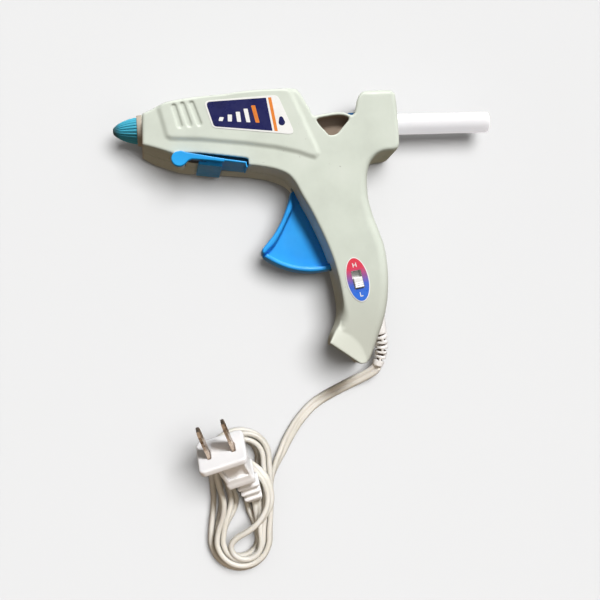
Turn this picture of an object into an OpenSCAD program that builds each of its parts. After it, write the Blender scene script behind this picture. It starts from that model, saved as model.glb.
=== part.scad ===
// Full-size dual-temperature hot glue gun, lying on its right side.
// Frame: +X runs back along the barrel, +Y towards the top of the gun,
// +Z out of its left side. Millimetres. z = 0 is the table.

/* [Barrel] */
// Height of the barrel axis above the middle of the gun
axis_y = 56; // [55.8:0.1:56.2]
// Half the thickness of the housing over its plain sides
half_t = 14; // [13.8:0.1:14.2]
// Half the thickness over the raised side panels
panel_half = 17; // [17:0.1:17.2]
// Half thickness at the raised panel of the left side
panel_left = 15; // [14.8:0.1:15.2]
// Wall thickness of the two shells
wall = 2; // [1.8:0.1:2.2]

/* [Glue path] */
// Radius of a full-size glue stick
stick_r = 5.6; // [5.5:0.05:5.65]
// Where the glue stick ends behind the gun
stick_end = 102.5; // [80:0.5:140]
// Radius of the melt chamber
chamber_r = 9; // [8.8:0.1:9]
// Radius of the cap over the nozzle, at its base
cap_r = 7; // [6.8:0.1:7]

/* [Trigger] */
// Thickness of the trigger's finger bar
bar_t = 9; // [8:0.5:9]
// Thickness of the trigger's web
web_t = 3; // [2.5:0.5:3.5]
// Radius of the trigger's pivot pin
pivot_r = 2; // [1.8:0.1:2.1]

/* [Stand] */
// Radius of the round boss at the stand's hinge
stand_boss_r = 4; // [3.8:0.1:4.2]
// Thickness of the stand's arm
stand_t = 2.6; // [2.2:0.1:2.7]

/* [Switch] */
// Length of the oval plate around the switch
plate_len = 23.8; // [22:0.2:25]
// Width of the oval plate around the switch
plate_wid = 12.2; // [11:0.2:13]
// Travel of the slide button
button_travel = 3.3; // [3:0.1:3.3]

/* [Cord] */
// Width of the flat twin lead
cord_w = 5.6; // [5:0.1:6]
// Thickness of the flat twin lead
cord_t = 2.8; // [2.5:0.1:3]
// Height of the wound hank
hank_h = 13; // [11:0.5:14]

/* [Hidden] */
$fn = 48;
mid = 17;
axis = [axis_y, mid];
pivot = [-1.5, 17.8];
arm_pin = [3.73, 46];
jaw_pin_at = [15.5, 48.6];
stand_at = [-69.5, 36.2];
switch_at = [19.4, -30.4];
switch_turn = 9.3;
screw_at = [[-75.4, 45.4], [-16, 68], [-24, 39.5], [22, 30], [29.2, -6], [15, -60], [36.5, 43.4]];

shell_rgb = [0.86, 0.88, 0.82];
blue_rgb = [0.20, 0.62, 0.95];
teal_rgb = [0.22, 0.66, 0.78];
white_rgb = [0.95, 0.95, 0.93];
cream_rgb = [0.95, 0.93, 0.85];
brass_rgb = [0.80, 0.64, 0.30];
steel_rgb = [0.70, 0.71, 0.73];
alu_rgb = [0.78, 0.79, 0.80];

// Side outline of the housing, clockwise from the top of the nose
outline = [
  [-87, 64.6], [-79, 66.4], [-75.5, 68.2], [-69, 68.9], [-59, 70.4], [-50, 72.2], [-38, 73.4], [-25, 74],
  [-12, 74], [-8.6, 73.6], [-5.9, 72.2], [-3.9, 70.2], [-2.3, 68], [-0.9, 65.2], [0.3, 63], [1, 61.2], [1.6, 59.2],
  [2.6, 58.1], [4.8, 58.3], [10.3, 59.2], [15.1, 59.8], [19.2, 59.5], [21.6, 58.4], [23.2, 58], [24.4, 59.2],
  [26.5, 66.7], [27.6, 68.9], [29.8, 71], [33, 71.5], [46, 71.5], [48, 69.5], [48.5, 56],
  [48, 41.5], [46.8, 39], [44.5, 38.1], [41, 38], [37.4, 37.2], [34, 35.2], [31, 31], [29.5, 25], [29.3, 18], [29.8, 12],
  [31.5, 4], [34, -4], [36, -11], [37, -18], [37.2, -26], [36.6, -35], [35, -44], [32.5, -52], [28.5, -61],
  [25, -68.5], [22.5, -72.6], [20.5, -74], [17, -74], [2.2, -62.8], [5.2, -57], [8.5, -53], [10.4, -49],
  [11.2, -44], [10.9, -38], [9.9, -30], [7.9, -20.2], [5.3, -11.6], [1.9, -2.6], [-2.3, 7.3], [-6.6, 15.8],
  [-9.6, 22.2], [-12.8, 26.3], [-17.5, 28.9], [-23, 30.6], [-33.5, 32.4], [-45, 33.6], [-57.8, 35.2],
  [-62, 36], [-68, 38], [-74, 40.2], [-80, 42.4], [-87, 44.9]];

// Hollow inside the barrel and the grip
hollow = [
  [-84, 63], [-79, 64.2], [-74.5, 66.2], [-69, 66.9], [-59, 68.4], [-50, 70.2], [-38, 71.4], [-25, 72],
  [-12, 72], [-8, 71.2], [-5.5, 69.2], [-3.5, 66.3], [-2, 63.5], [-1, 60], [0, 45], [27, 45], [29.5, 38],
  [28, 32], [27.4, 25], [27.3, 18], [27.8, 11.5], [29.5, 4], [32, -4], [34, -11.5], [35, -18], [35.2, -26],
  [34.6, -35], [33, -43.5], [30.5, -51.3], [26.6, -60.2], [22.5, -68.5], [21.5, -70], [18.5, -71.2],
  [6, -61.8], [7.2, -57.5], [10.3, -54], [12.4, -49.8], [13.9, -44.3], [14, -38], [13.2, -30], [11.5, -20],
  [8.9, -10.8], [5.3, -1.7], [0.7, 8.4], [-3.8, 17], [-7.5, 23.7], [-11.6, 28], [-16.8, 30.8], [-22.6, 32.6],
  [-33.3, 34.6], [-44.8, 36.4], [-57.5, 38.6], [-61.5, 39.4], [-67.3, 40.4], [-73.3, 42.2], [-79.3, 44.4],
  [-84, 46.2]];

// Raised side panel, and the deeper hollow behind it
panel = [
  [-79.5, 64.5], [-75.2, 46.6], [-58, 45.6], [-34.6, 43.6], [-18.8, 41.1], [-7, 38.1], [1, 34.8], [3.6, 37.4],
  [-6.5, 66.4], [-8.5, 71], [-12, 72.4], [-25, 72.6], [-38, 71.8], [-50, 70.6], [-59, 68.8], [-69, 67.4],
  [-75, 66.8]];
panel_hollow = [
  [-74, 63], [-70.5, 50.5], [-58, 49.8], [-34, 47.8], [-18, 45.2], [-8, 43], [-3, 58], [-7, 66], [-12, 69.5],
  [-25, 70], [-38, 69.4], [-50, 68.2], [-59, 66.4], [-69, 65]];

// Flared foot at the end of the grip, and the finger recess in each side
foot = [[3.2, -60.8], [9, -60.6], [14, -64.2], [17.6, -70], [18.2, -74], [17, -74], [2.2, -62.8]];
recess = [
  [3.8, 55.8], [9.9, 47.4], [13.7, 47.6], [18.3, 52], [21.4, 56], [19.1, 57.6], [14.9, 58], [10.1, 57.4], [5, 56.5]];
// Opening in the front of the grip for the trigger
trigger_gap = [
  [-13.6, 20.5], [-12.4, 16.6], [-6, 4], [-1, -7], [3, -18], [4.4, -23.9], [8, -23.4], [12, -22.3], [15, -21.1], [12, -10], [4, 8], [-4, 22], [-7.6, 22.8]];

// Route of the lead along the table, from the strain relief to the hank
route = [
  [31.8, -75, 9], [30.6, -77, 8.2], [28.2, -78.6, 7.1], [24.8, -79.8, 5.6], [20.8, -81.2, 4], [16.2, -83.1, 2.5],
  [11.5, -85.2, 1.6], [5.8, -87.8, 1.6], [0.1, -90.6, 1.6], [-4.5, -93.6, 1.6], [-8.6, -97.3, 1.6], [-12.7, -101.6, 1.6],
  [-16, -106.1, 1.6], [-19.4, -111.2, 1.6], [-22.2, -116.3, 1.6], [-25.3, -121.6, 1.6], [-28, -127.2, 1.7],
  [-30, -133.6, 2.1], [-31, -140.4, 2.8]];
hank_n = [-45, -118.5];
hank_s = [-47.6, -160];
hank_r = 17;

// Plug: centre of its face, and how it lies on the hank
plug_at = [-57.2, -113, 32.5];
plug_turn = [38, -14, 23];

// Strain relief: where its axis starts inside the grip, and its direction
relief_at = [32, -49.5, 17];
relief_to = [31.8, -75, 9];
relief_d = relief_to - relief_at;
relief_len = norm(relief_d);
relief_tilt = acos(relief_d.z / relief_len);
relief_yaw = atan2(relief_d.y, relief_d.x);

// Wire routes inside the grip and the barrel
wire_a = [[31.2, -48.4, 16.4], [29.8, -46.6, 14.7], [28.2, -44.5, 14.3], [27.9, -42.2, 14.5], [27.6, -39.4, 12.6],
  [27, -35.4, 9.4], [26, -30, 7], [25, -20, 6.4], [24, -6, 6.2], [21, 9, 6.2], [15, 22, 6.2], [8, 32, 6.2], [-2, 35.2, 6.2],
  [-14, 35.6, 6.4], [-24, 34.9, 7.2], [-32, 37.4, 9], [-36.5, 42, 11.4], [-38.6, 44.6, 13]];
wire_b = [[29, -48.2, 16.8], [27.4, -46.6, 14.9], [26, -44.5, 14.3], [25.4, -41.8, 14.8], [25.2, -39, 17]];
wire_c = [[23, -37.2, 17.4], [20.5, -34, 12.4], [19.6, -26, 9], [20, -14, 8], [19.4, 0, 8.6], [16, 13, 8.6], [9, 26, 8.6],
  [0, 32.4, 8.8], [-13, 33.6, 9], [-24, 34.7, 10.2], [-33, 38.4, 14], [-36.6, 42, 18], [-38.6, 44.6, 20]];

function unit(v) = v / max(norm(v), 0.000001);
function tangent(p, i) =
  i == 0 ? unit(p[1] - p[0]) : i == len(p) - 1 ? unit(p[i] - p[i - 1]) : unit(p[i + 1] - p[i - 1]);
function side(t) = unit(cross(t, [0, 0, 1]));
// Rings of a tube that is w wide and h high, along the points p
function ring(p, i, w, h, n) =
  let (t = tangent(p, i), s = side(t), u = cross(s, t))
  [for (k = [0:n - 1]) p[i] + s * (w / 2) * cos(360 * k / n + 180 / n) + u * (h / 2) * sin(360 * k / n + 180 / n)];

module tube(p, w, h, n) {
  m = len(p);
  pts = [for (i = [0:m - 1]) each ring(p, i, w, h, n)];
  sides = [for (i = [0:m - 2], k = [0:n - 1])
    [i * n + k, i * n + (k + 1) % n, (i + 1) * n + (k + 1) % n, (i + 1) * n + k]];
  tri = [for (f = sides) each [[f[0], f[1], f[2]], [f[0], f[2], f[3]]]];
  caps = concat([for (k = [1:n - 2]) [0, k + 1, k]],
    [for (k = [1:n - 2]) [(m - 1) * n, (m - 1) * n + k, (m - 1) * n + k + 1]]);
  polyhedron(points = pts, faces = concat(tri, caps), convexity = 6);
}

// A flat plate in the side view between two heights
module plate(pts, z0, z1) { translate([0, 0, z0]) linear_extrude(z1 - z0) polygon(pts); }
module pin(at, r, z0, z1) { translate([at.x, at.y, z0]) cylinder(r = r, h = z1 - z0); }
// A round bar along the barrel axis
module bar(r, x0, x1) { translate([x0, axis_y, mid]) rotate([0, 90, 0]) cylinder(r = r, h = x1 - x0); }
// A turned shape along the barrel axis, from [x, radius] points
module turned(pts) { translate([0, axis_y, mid]) rotate([0, 90, 0]) rotate_extrude() polygon([for (p = pts) [p[1], p[0]]]); }
module box(a, b) { translate(a) cube(b - a); }

// The whole outside of the housing, before it is split
module housing_form() {
  plate(outline, mid - half_t, mid + half_t);
  plate(panel, mid - panel_half, mid + panel_left);
  plate(foot, mid - panel_half, mid + panel_half);
}

// Everything that is taken out of both shells
module housing_hollows() {
  plate(hollow, mid - half_t + wall, mid + half_t - wall);
  plate(panel_hollow, mid - panel_half + wall + 0.5, mid + panel_left - wall - 0.5);
  box([-3, 44.5, mid - 7.2], [28.4, 62, mid + 7.2]);
  box([10.5, 58, mid - 7.2], [28.4, 76, mid + 7.2]);
  plate(recess, mid + 8.4, 40);
  plate(recess, -6, mid - 8.4);
  plate(trigger_gap, mid - 3.4, mid + 3.4);
  rim_slot();
  box([-60.2, 29, -1], [-46.8, 35.4, 40]);
  translate(relief_at) rotate([0, relief_tilt, relief_yaw]) cylinder(r = 3.7, h = 22);
}

// Way into the grip for the rim of the trigger
module rim_slot() {
  intersection() {
    translate([pivot.x, pivot.y, mid - bar_t / 2 - 0.5]) difference() {
      cylinder(r = arc_r + 0.7, h = bar_t + 1);
      translate([0, 0, -1]) cylinder(r = arc_r - 3.1, h = bar_t + 3);
    }
    box([2, -32, 0], [17, -12, 40]);
  }
}

module housing_ribs() {
  box([-70, 45, 3.6], [-67.5, 66.6, 30.4]);
  box([-37, 45, 3.6], [-34.5, 71, 30.4]);
  box([-16.5, 45.2, 3.6], [-14.5, 71.4, 30.4]);
}

module half(z0, z1) { intersection() { children(); box([-140, -140, z0], [140, 140, z1]); } }

module glue_bores() {
  bar(6.8, -90, -82);
  bar(chamber_r, -82, -30);
  bar(8.6, -30, -10);
  bar(9.2, 25, 44);
  bar(6.6, 43, 60);
}

module left_housing() {
  color(shell_rgb) half(mid, 40) difference() {
    union() {
      difference() { housing_form(); housing_hollows(); }
      housing_ribs();
      for (s = screw_at) pin(s, 3.2, mid, 30);
      pin(pivot, 4.2, 23.4, 30);
      pin(stand_at, stand_boss_r, 24, 31);
      translate([switch_at.x, switch_at.y, 20.5]) rotate(switch_turn) {
        translate([5.6, -11.5, 0]) cylinder(r = 1.7, h = 9);
        translate([-3.4, -11.5, 0]) cylinder(r = 1.7, h = 9);
      }
    }
    glue_bores();
    for (s = screw_at) pin(s, 1.1, mid - 1, 26);
    pin(pivot, pivot_r, 10, 28.6);
    pin(stand_at, 1.5, 20, 40);
    translate([switch_at.x, switch_at.y, 26]) rotate(switch_turn) translate([-2.5, -4.65, 0]) cube([5, 9.3, 10]);
    for (g = [[-69.7, 64.9], [-65.2, 65.9], [-60.6, 66.4]]) translate([g.x, g.y, mid + panel_left - 0.7])
      rotate(13.6) translate([-1, -11.2, 0]) cube([2, 14, 5]);
  }
}

module right_housing() {
  color(shell_rgb) half(-5, mid) difference() {
    union() {
      difference() { housing_form(); housing_hollows(); }
      housing_ribs();
      for (s = screw_at) pin(s, 3.2, 4, mid);
      pin(pivot, 4.2, 4, 10.6);
      pin(spring_at, 2.7, 4, 10);
      box([22.2, -46.4, 4], [31.5, -42.6, 13.4]);
    }
    glue_bores();
    for (s = screw_at) { pin(s, 1.4, 0, mid + 1); pin(s, 2.4, -6, 8); }
    pin(pivot, pivot_r, 5.4, 20);
    for (g = [[-69.7, 64.9], [-65.2, 65.9], [-60.6, 66.4]]) translate([g.x, g.y, mid - panel_half - 4.1])
      rotate(13.6) translate([-1, -11.2, 0]) cube([2, 14, 5]);
    for (x = [23.6, 30.2]) pin([x, -44.5], 0.8, 6, 20);
  }
}

module housing_screws() {
  color(steel_rgb) for (s = screw_at) difference() {
    union() { pin(s, 2.3, 6.4, 8); pin(s, 1.1, 7, 25); }
    box([s.x - 1.6, s.y - 0.3, 5], [s.x + 1.6, s.y + 0.3, 7]);
    box([s.x - 0.3, s.y - 1.6, 5], [s.x + 0.3, s.y + 1.6, 7]);
  }
}

module nose_ring() { color(shell_rgb) turned([[-90, 7.1], [-90, 7.9], [-89.4, 8.3], [-87, 8.3], [-87, 7.1]]); }

// Soft fluted cap over the hot nozzle
module nozzle_sleeve() {
  color(teal_rgb) turned([
    [-102.5, 1.6], [-102.5, 2.4], [-102, 3], [-100, 4], [-97.5, 5], [-95, 5.8], [-92.5, 6.5], [-90.5, 6.9],
    [-89.5, cap_r], [-88, cap_r], [-88, 5.4], [-101.4, 1.6]]);
}

module nozzle_tip() {
  color(brass_rgb) turned([
    [-101.4, 0.8], [-101.4, 1.6], [-88, 5.4], [-88, 6], [-80, 6], [-80, 4.5], [-74, 4.5], [-74, 2.2], [-97, 2.2],
    [-99.5, 0.8]]);
}

module chamber_isolator() { color([0.75, 0.30, 0.20]) turned([[-86.9, 6], [-86.9, 6.8], [-82.5, 6.8], [-82.5, 6]]); }

module melt_chamber() {
  color(alu_rgb) difference() {
    union() {
      turned([
        [-80, 4.5], [-80, 6.5], [-72, 6.5], [-72, chamber_r], [-32, chamber_r], [-32, 7.3], [-26, 7.3], [-26, 6],
        [-67, 6], [-73, 2.5], [-74, 2.5], [-74, 4.5]]);
      difference() {
        box([-64, 42, 9], [-40, 52, 25]);
        bar(7.5, -70, -30);
      }
    }
    box([-63, 43, 11], [-39, 46.4, 23]);
  }
}

module heater_element() { color([0.55, 0.50, 0.46]) box([-62.6, 43.3, 11.3], [-39.6, 46.1, 22.7]); }

module heater_clip() {
  color(steel_rgb) {
    difference() {
      box([-57, 41.2, 8.2], [-47, 50.6, 25.8]);
      box([-58, 42, 9], [-46, 53, 25]);
    }
  }
}

module inlet_sleeve() {
  color([0.82, 0.45, 0.30]) turned([[-32, 7.3], [-32, 8.6], [-12, 8.6], [-12, 6.4], [-14, 6], [-26, 6], [-26, 7.3]]);
}

module sleeve_clamp() {
  color(steel_rgb) difference() {
    bar(9.4, -29.6, -26.6);
    bar(8.6, -30, -26);
    box([-30, 63, 16.2], [-26, 68, 17.8]);
  }
}

module rear_guide() { color([0.30, 0.30, 0.32]) turned([[30, 6.6], [30, 9.2], [44, 9.2], [44, 6], [31.4, 6]]); }

module glue_stick() {
  color([0.93, 0.92, 0.88, 0.8]) turned([
    [-14, 0], [-14, stick_r - 0.4], [-13.6, stick_r], [stick_end - 0.4, stick_r], [stick_end, stick_r - 0.4], [stick_end, 0]]);
}

// Carriage that pushes the stick forward
module feed_carriage() {
  color(blue_rgb) difference() {
    union() {
      box([8, 47.2, 10.1], [28, 57, 23.9]);
      box([22.7, 47.2, 10.1], [28, 61, 23.9]);
      for (z = [10.1, 20.4]) {
        box([arm_pin.x, 42.8, z], [10, 49.4, z + 3.5]);
        pin(arm_pin, 3.2, z, z + 3.5);
      }
    }
    bar(5.9, -2, 40);
    box([12.4, 44, 13.7], [23, 54, 20.3]);
    pin(arm_pin, 1.5, 5, 30);
    pin(jaw_pin_at, 1, 5, 30);
  }
}

module carriage_pin() { color(steel_rgb) pin(arm_pin, 1.5, 10.2, 23.8); }
module jaw_pin() { color(steel_rgb) pin(jaw_pin_at, 1, 10.2, 23.8); }

// Toothed jaw that bites the stick
module grip_jaw() {
  color([0.62, 0.62, 0.64]) difference() {
    union() {
      pin(jaw_pin_at, 1.7, 14, 20);
      plate([[15.2, 46.9], [21.6, 46.4], [22.4, 47.4], [21.9, 49.5], [21.2, 48.7], [20.6, 49.5], [19.9, 48.7], [19.3, 49.5],
        [18.5, 48.7], [16, 49.8]], 14, 20);
    }
    pin(jaw_pin_at, 1.05, 10, 24);
  }
}

arc_r = 41.6;
function on_arc(a, r) = [pivot.x + r * cos(a), pivot.y + r * sin(a)];
trigger_front = [[-11, 19.4], [-11.9, 16.4], [-13.6, 11.5], [-16.8, 4.5], [-21.1, -2.4], [-25, -6.9], [-28.2, -10.4]];

module trigger() {
  color(blue_rgb) difference() {
    union() {
      plate(concat(trigger_front, [for (a = [-129.6:4.5:-75.6]) on_arc(a, arc_r)], [[8.4, -10], [6.4, 4], [4.6, 14], [-6, 22]]),
        mid - web_t / 2, mid + web_t / 2);
      plate(concat(trigger_front, [[-28.4, -13.6], [-25.9, -12], [-21.4, -7.7], [-17.2, -1.4], [-13.4, 5.6], [-10.7, 12.8], [-9.8, 19]]),
        mid - bar_t / 2, mid + bar_t / 2);
      plate(concat([for (a = [-129.6:4.5:-75.6]) on_arc(a, arc_r)], [for (a = [-75.6:-4.5:-129.6]) on_arc(a, arc_r - 2.4)]),
        mid - bar_t / 2, mid + bar_t / 2);
      pin(pivot, 5.4, 14.2, 19.8);
      pin(arm_pin, 3.2, 14.2, 19.8);
      translate([pivot.x, pivot.y, 14.2]) rotate(-10.5) translate([-3.2, 0, 0]) cube([6.4, 28.68, 5.6]);
    }
    pin(pivot, pivot_r + 0.05, 0, 40);
    translate([arm_pin.x, arm_pin.y, 10]) rotate(-10.5) {
      translate([0, -1, 0]) cylinder(r = 1.8, h = 14);
      translate([0, 0.4, 0]) cylinder(r = 1.8, h = 14);
      translate([-1.8, -1, 0]) cube([3.6, 1.4, 14]);
    }
  }
}

module trigger_pin() { color(steel_rgb) pin(pivot, pivot_r, 5.6, 28.4); }

// Torsion spring on a post behind the trigger
spring_at = [6.5, 16.5];
spring_turns = 3.5;
spring_path = concat(
  [[14, 11.6, 5.9]],
  [for (k = [0:42]) let (a = -90 + 360 * spring_turns * k / 42) [spring_at.x + 3.6 * cos(a), spring_at.y + 3.6 * sin(a), 5.9 + 3 * k / 42]],
  [[1.4, 26, 8.9]]);
module trigger_spring() { color(steel_rgb) tube(spring_path, 0.8, 0.8, 8); }

// Fold-down stand: arm on one side, cross plate and foot
stand_arm = [
  [-68.4, 40], [-54, 37.3], [-46, 35.6], [-35.3, 33.8], [-34.2, 31.4], [-46.8, 33], [-60, 35.2], [-64.6, 34.4]];
stand_foot = [[-47.2, 33.2], [-34.4, 31.4], [-34.2, 29.9], [-47.2, 31.6]];
stand_cross = [[-59.8, 35.2], [-47.2, 34.6], [-47.2, 31.6], [-59.8, 33.4]];

module stand() {
  color(blue_rgb) difference() {
    union() {
      pin(stand_at, stand_boss_r, 31.2, 31.2 + stand_t);
      plate(stand_arm, 31.2, 31.2 + stand_t);
      plate(stand_cross, 6.4, 31.2 + stand_t);
      plate(stand_foot, 21, 31.2 + stand_t);
    }
    pin(stand_at, 1.55, 30, 33);
  }
}

module stand_pin() { color(steel_rgb) pin(stand_at, 1.5, 24.4, 32.8); }

module in_switch(z) { translate([switch_at.x, switch_at.y, z]) rotate(switch_turn) children(); }

module switch_plate() {
  color([0.85, 0.25, 0.35]) in_switch(mid + half_t) difference() {
    linear_extrude(0.3) polygon([for (a = [0:7.5:352.5]) [plate_wid / 2 * cos(a), plate_len / 2 * sin(a)]]);
    translate([-2.7, -4.85, -1]) cube([5.4, 9.7, 3]);
  }
}

module switch_button() {
  color(white_rgb) in_switch(0) {
    translate([-2.35, -4.45, 27]) cube([4.7, 9.3 - button_travel - 0.4, 5.2]);
    translate([-3.4, -5.4, 26.9]) cube([6.8, 7.6, 1.5]);
  }
}

module switch_body() {
  color([0.18, 0.18, 0.2]) in_switch(0) difference() {
    translate([-4.5, -8, 20.5]) cube([9, 15.4, 6.1]);
    translate([-3.6, -7, 25.6]) cube([7.2, 13.4, 3]);
  }
}

module switch_board() {
  color([0.20, 0.45, 0.25]) in_switch(0) {
    translate([-5.4, -14, 18.9]) cube([13, 19.4, 1.6]);
    translate([5.4, -7.6, 20.5]) cube([2, 6.4, 1.9]);
  }
}

module wire_harness() {
  color([0.15, 0.15, 0.16]) {
    tube(wire_a, 1.8, 1.8, 8);
    tube(wire_b, 1.8, 1.8, 8);
    tube(wire_c, 1.8, 1.8, 8);
  }
}

module label_plate() {
  color([0.10, 0.12, 0.34]) plate([
    [-55, 66.4], [-53.6, 67.2], [-18.6, 69.4], [-16.4, 68.6], [-14.6, 66.4], [-9.2, 51.4], [-9, 49], [-11, 47.8],
    [-49.6, 52.2], [-51.6, 53.6]], mid + panel_left, mid + panel_left + 0.25);
}

// Ribbed strain relief where the lead leaves the grip
module strain_relief() {
  color(white_rgb) translate(relief_at) rotate([0, relief_tilt, relief_yaw]) rotate_extrude() polygon(concat(
    [[0, 0], [3.7, 0], [3.7, 7.6]],
    [for (k = [0:5], s = [0:3]) [3.5 - 0.1 * k - ((s == 1 || s == 2) ? 0.9 : 0), 8.4 + 2.7 * k + [0, 0, 1.1, 1.1][s]]],
    [[2.9, relief_len - 0.6], [2.9, relief_len], [0, relief_len]]));
}

module cord_clamp() {
  color(white_rgb) difference() {
    box([22.2, -46.4, 15.2], [31.5, -42.6, 17.2]);
    for (x = [23.6, 30.2]) pin([x, -44.5], 0.8, 5, 20);
  }
}

module cord_clamp_screws() {
  color(steel_rgb) for (x = [23.6, 30.2]) { pin([x, -44.5], 0.8, 7, 17.6); pin([x, -44.5], 1.5, 17.2, 18.4); }
}

module cord_lead() { color(cream_rgb) tube(route, cord_w, cord_t, 10); }

module cord_hank() {
  d = hank_s - hank_n;
  color(cream_rgb) translate([hank_n.x, hank_n.y, 0]) rotate(atan2(d.y, d.x)) linear_extrude(hank_h) polygon(concat(
    [for (a = [90:11.25:270]) [hank_r * cos(a), hank_r * sin(a)]],
    [for (a = [-90:11.25:90]) [norm(d) + hank_r * cos(a), hank_r * sin(a)]]));
}

module in_plug() { translate(plug_at) rotate([0, 0, plug_turn.z]) rotate([plug_turn.x, 0, 0]) rotate([0, plug_turn.y, 0]) children(); }
// A flat plate of the plug, seen along its thickness
module plug_slice(pts, h) { translate([0, 0, -h / 2]) linear_extrude(h) polygon(pts); }

module blade_pair() {
  for (x = [-6.35, 6.35]) difference() {
    translate([x - 0.75, 0, 0]) rotate([90, 0, 90]) linear_extrude(1.5)
      polygon([[-3, -3.17], [15, -3.17], [17.5, -1.9], [17.5, 1.9], [15, 3.17], [-3, 3.17]]);
    translate([x - 3, 13.4, 0]) rotate([0, 90, 0]) cylinder(r = 1.6, h = 6);
  }
}

module plug_body() {
  color(white_rgb) in_plug() difference() {
    union() {
      plug_slice([[-12.4, -1.2], [-11.2, 0], [11.2, 0], [12.4, -1.2], [12.4, -3.8], [-12.4, -3.8]], 22.6);
      plug_slice([[-5.4, -3.8], [9.6, -3.8], [11, -18], [-3.2, -18]], 14);
      plug_slice([[-3.6, -17.6], [11.6, -17.6], [11.2, -21.6], [-3, -21.6]], 14);
      plug_slice([[1.2, -21.4], [11, -21.4], [10.2, -38], [2.6, -38]], 7);
      for (k = [0:2]) plug_slice([[0.4 + 0.5 * k, -25.4 - 4.2 * k], [12 - 0.5 * k, -25.4 - 4.2 * k], [11.8 - 0.5 * k, -27.4 - 4.2 * k],
        [0.6 + 0.5 * k, -27.4 - 4.2 * k]], 9);
    }
    blade_pair();
  }
}

module plug_blades() { color(brass_rgb) in_plug() blade_pair(); }

left_housing();
right_housing();
housing_screws();
nose_ring();
nozzle_sleeve();
nozzle_tip();
chamber_isolator();
melt_chamber();
heater_element();
heater_clip();
inlet_sleeve();
sleeve_clamp();
rear_guide();
glue_stick();
feed_carriage();
carriage_pin();
jaw_pin();
grip_jaw();
trigger();
trigger_pin();
trigger_spring();
stand();
stand_pin();
switch_plate();
switch_button();
switch_body();
switch_board();
wire_harness();
label_plate();
strain_relief();
cord_clamp();
cord_clamp_screws();
cord_lead();
cord_hank();
plug_body();
plug_blades();
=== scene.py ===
import math

import bpy
import numpy as np
from mathutils import Matrix, Vector


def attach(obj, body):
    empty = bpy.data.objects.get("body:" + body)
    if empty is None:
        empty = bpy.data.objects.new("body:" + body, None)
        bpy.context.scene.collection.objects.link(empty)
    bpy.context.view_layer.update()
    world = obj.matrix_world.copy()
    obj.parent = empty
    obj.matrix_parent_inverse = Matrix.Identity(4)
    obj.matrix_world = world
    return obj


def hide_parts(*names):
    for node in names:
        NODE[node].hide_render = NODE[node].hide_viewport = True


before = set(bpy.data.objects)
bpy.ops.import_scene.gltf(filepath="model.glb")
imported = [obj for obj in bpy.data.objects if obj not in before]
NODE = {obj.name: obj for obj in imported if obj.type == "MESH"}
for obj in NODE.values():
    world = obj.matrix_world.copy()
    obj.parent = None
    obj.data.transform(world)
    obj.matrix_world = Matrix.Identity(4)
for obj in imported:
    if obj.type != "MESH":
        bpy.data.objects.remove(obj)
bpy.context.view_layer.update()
scene = bpy.context.scene
MM = 0.001
MID = 17.0
AXIS_Y = 56.0

# ---------------------------------------------------------------- camera

eye = Vector((-91.635, -94.408, 537.0)) * MM
aim = Vector((-9.5, -38.0, 17.0)) * MM
back = (eye - aim).normalized()
right = Vector((0.06976, 0.99756, 0.0)).cross(back).normalized()
up = back.cross(right)
camera_data = bpy.data.cameras.new("camera")
camera_data.lens = 60
camera_data.sensor_fit = "HORIZONTAL"
camera_data.sensor_width = 36
camera_data.clip_start = 0.01
camera_data.clip_end = 20
camera = bpy.data.objects.new("camera", camera_data)
camera.matrix_world = Matrix((
    (right.x, up.x, back.x, eye.x), (right.y, up.y, back.y, eye.y), (right.z, up.z, back.z, eye.z), (0, 0, 0, 1)))
scene.collection.objects.link(camera)
scene.camera = camera
scene.view_settings.view_transform = "Standard"

# ---------------------------------------------------------------- small tools


def unit(v):
    v = np.asarray(v, float)
    return v / max(np.linalg.norm(v), 1e-12)


def smooth_line(points, step, closed=False, corners=()):
    """Points about step apart on a smooth curve through points. Corners keep their angle."""
    P = np.asarray(points, float)
    n = len(P)
    last = n if closed else n - 1
    out = []
    for i in range(last):
        a, b = P[i], P[(i + 1) % n]
        chord = np.linalg.norm(b - a)

        def tangent(k):
            if k in corners or (not closed and k in (0, n - 1)):
                return (b - a)
            p, q, r = P[(k - 1) % n], P[k], P[(k + 1) % n]
            return (r - p) / (np.linalg.norm(q - p) + np.linalg.norm(r - q)) * chord

        m0, m1 = tangent(i), tangent((i + 1) % n)
        k = max(1, int(round(chord / step)))
        t = (np.arange(k) / k)[:, None]
        out.append((2 * t**3 - 3 * t**2 + 1) * a + (t**3 - 2 * t**2 + t) * m0 + (-2 * t**3 + 3 * t**2) * b + (t**3 - t**2) * m1)
    if not closed:
        out.append(P[-1:])
    return np.concatenate(out)


def mesh_object(name, verts, faces, smooth=True):
    """A mesh from points in millimetres and faces, all quads as an array or any list of lists."""
    mesh = bpy.data.meshes.new(name)
    v = np.asarray(verts, np.float64) * MM
    if isinstance(faces, np.ndarray) and faces.ndim == 2:
        loops, sizes = faces.ravel(), np.full(len(faces), faces.shape[1])
    else:
        loops, sizes = np.concatenate([np.asarray(f) for f in faces]), np.array([len(f) for f in faces])
    mesh.vertices.add(len(v))
    mesh.vertices.foreach_set("co", v.astype(np.float32).ravel())
    mesh.loops.add(len(loops))
    mesh.loops.foreach_set("vertex_index", loops.astype(np.int32))
    mesh.polygons.add(len(sizes))
    mesh.polygons.foreach_set("loop_start", np.concatenate([[0], np.cumsum(sizes)[:-1]]).astype(np.int32))
    mesh.polygons.foreach_set("loop_total", sizes.astype(np.int32))
    mesh.update(calc_edges=True)
    mesh.validate()
    mesh.polygons.foreach_set("use_smooth", np.full(len(mesh.polygons), smooth))
    ob = bpy.data.objects.new(name, mesh)
    scene.collection.objects.link(ob)
    return ob


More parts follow.
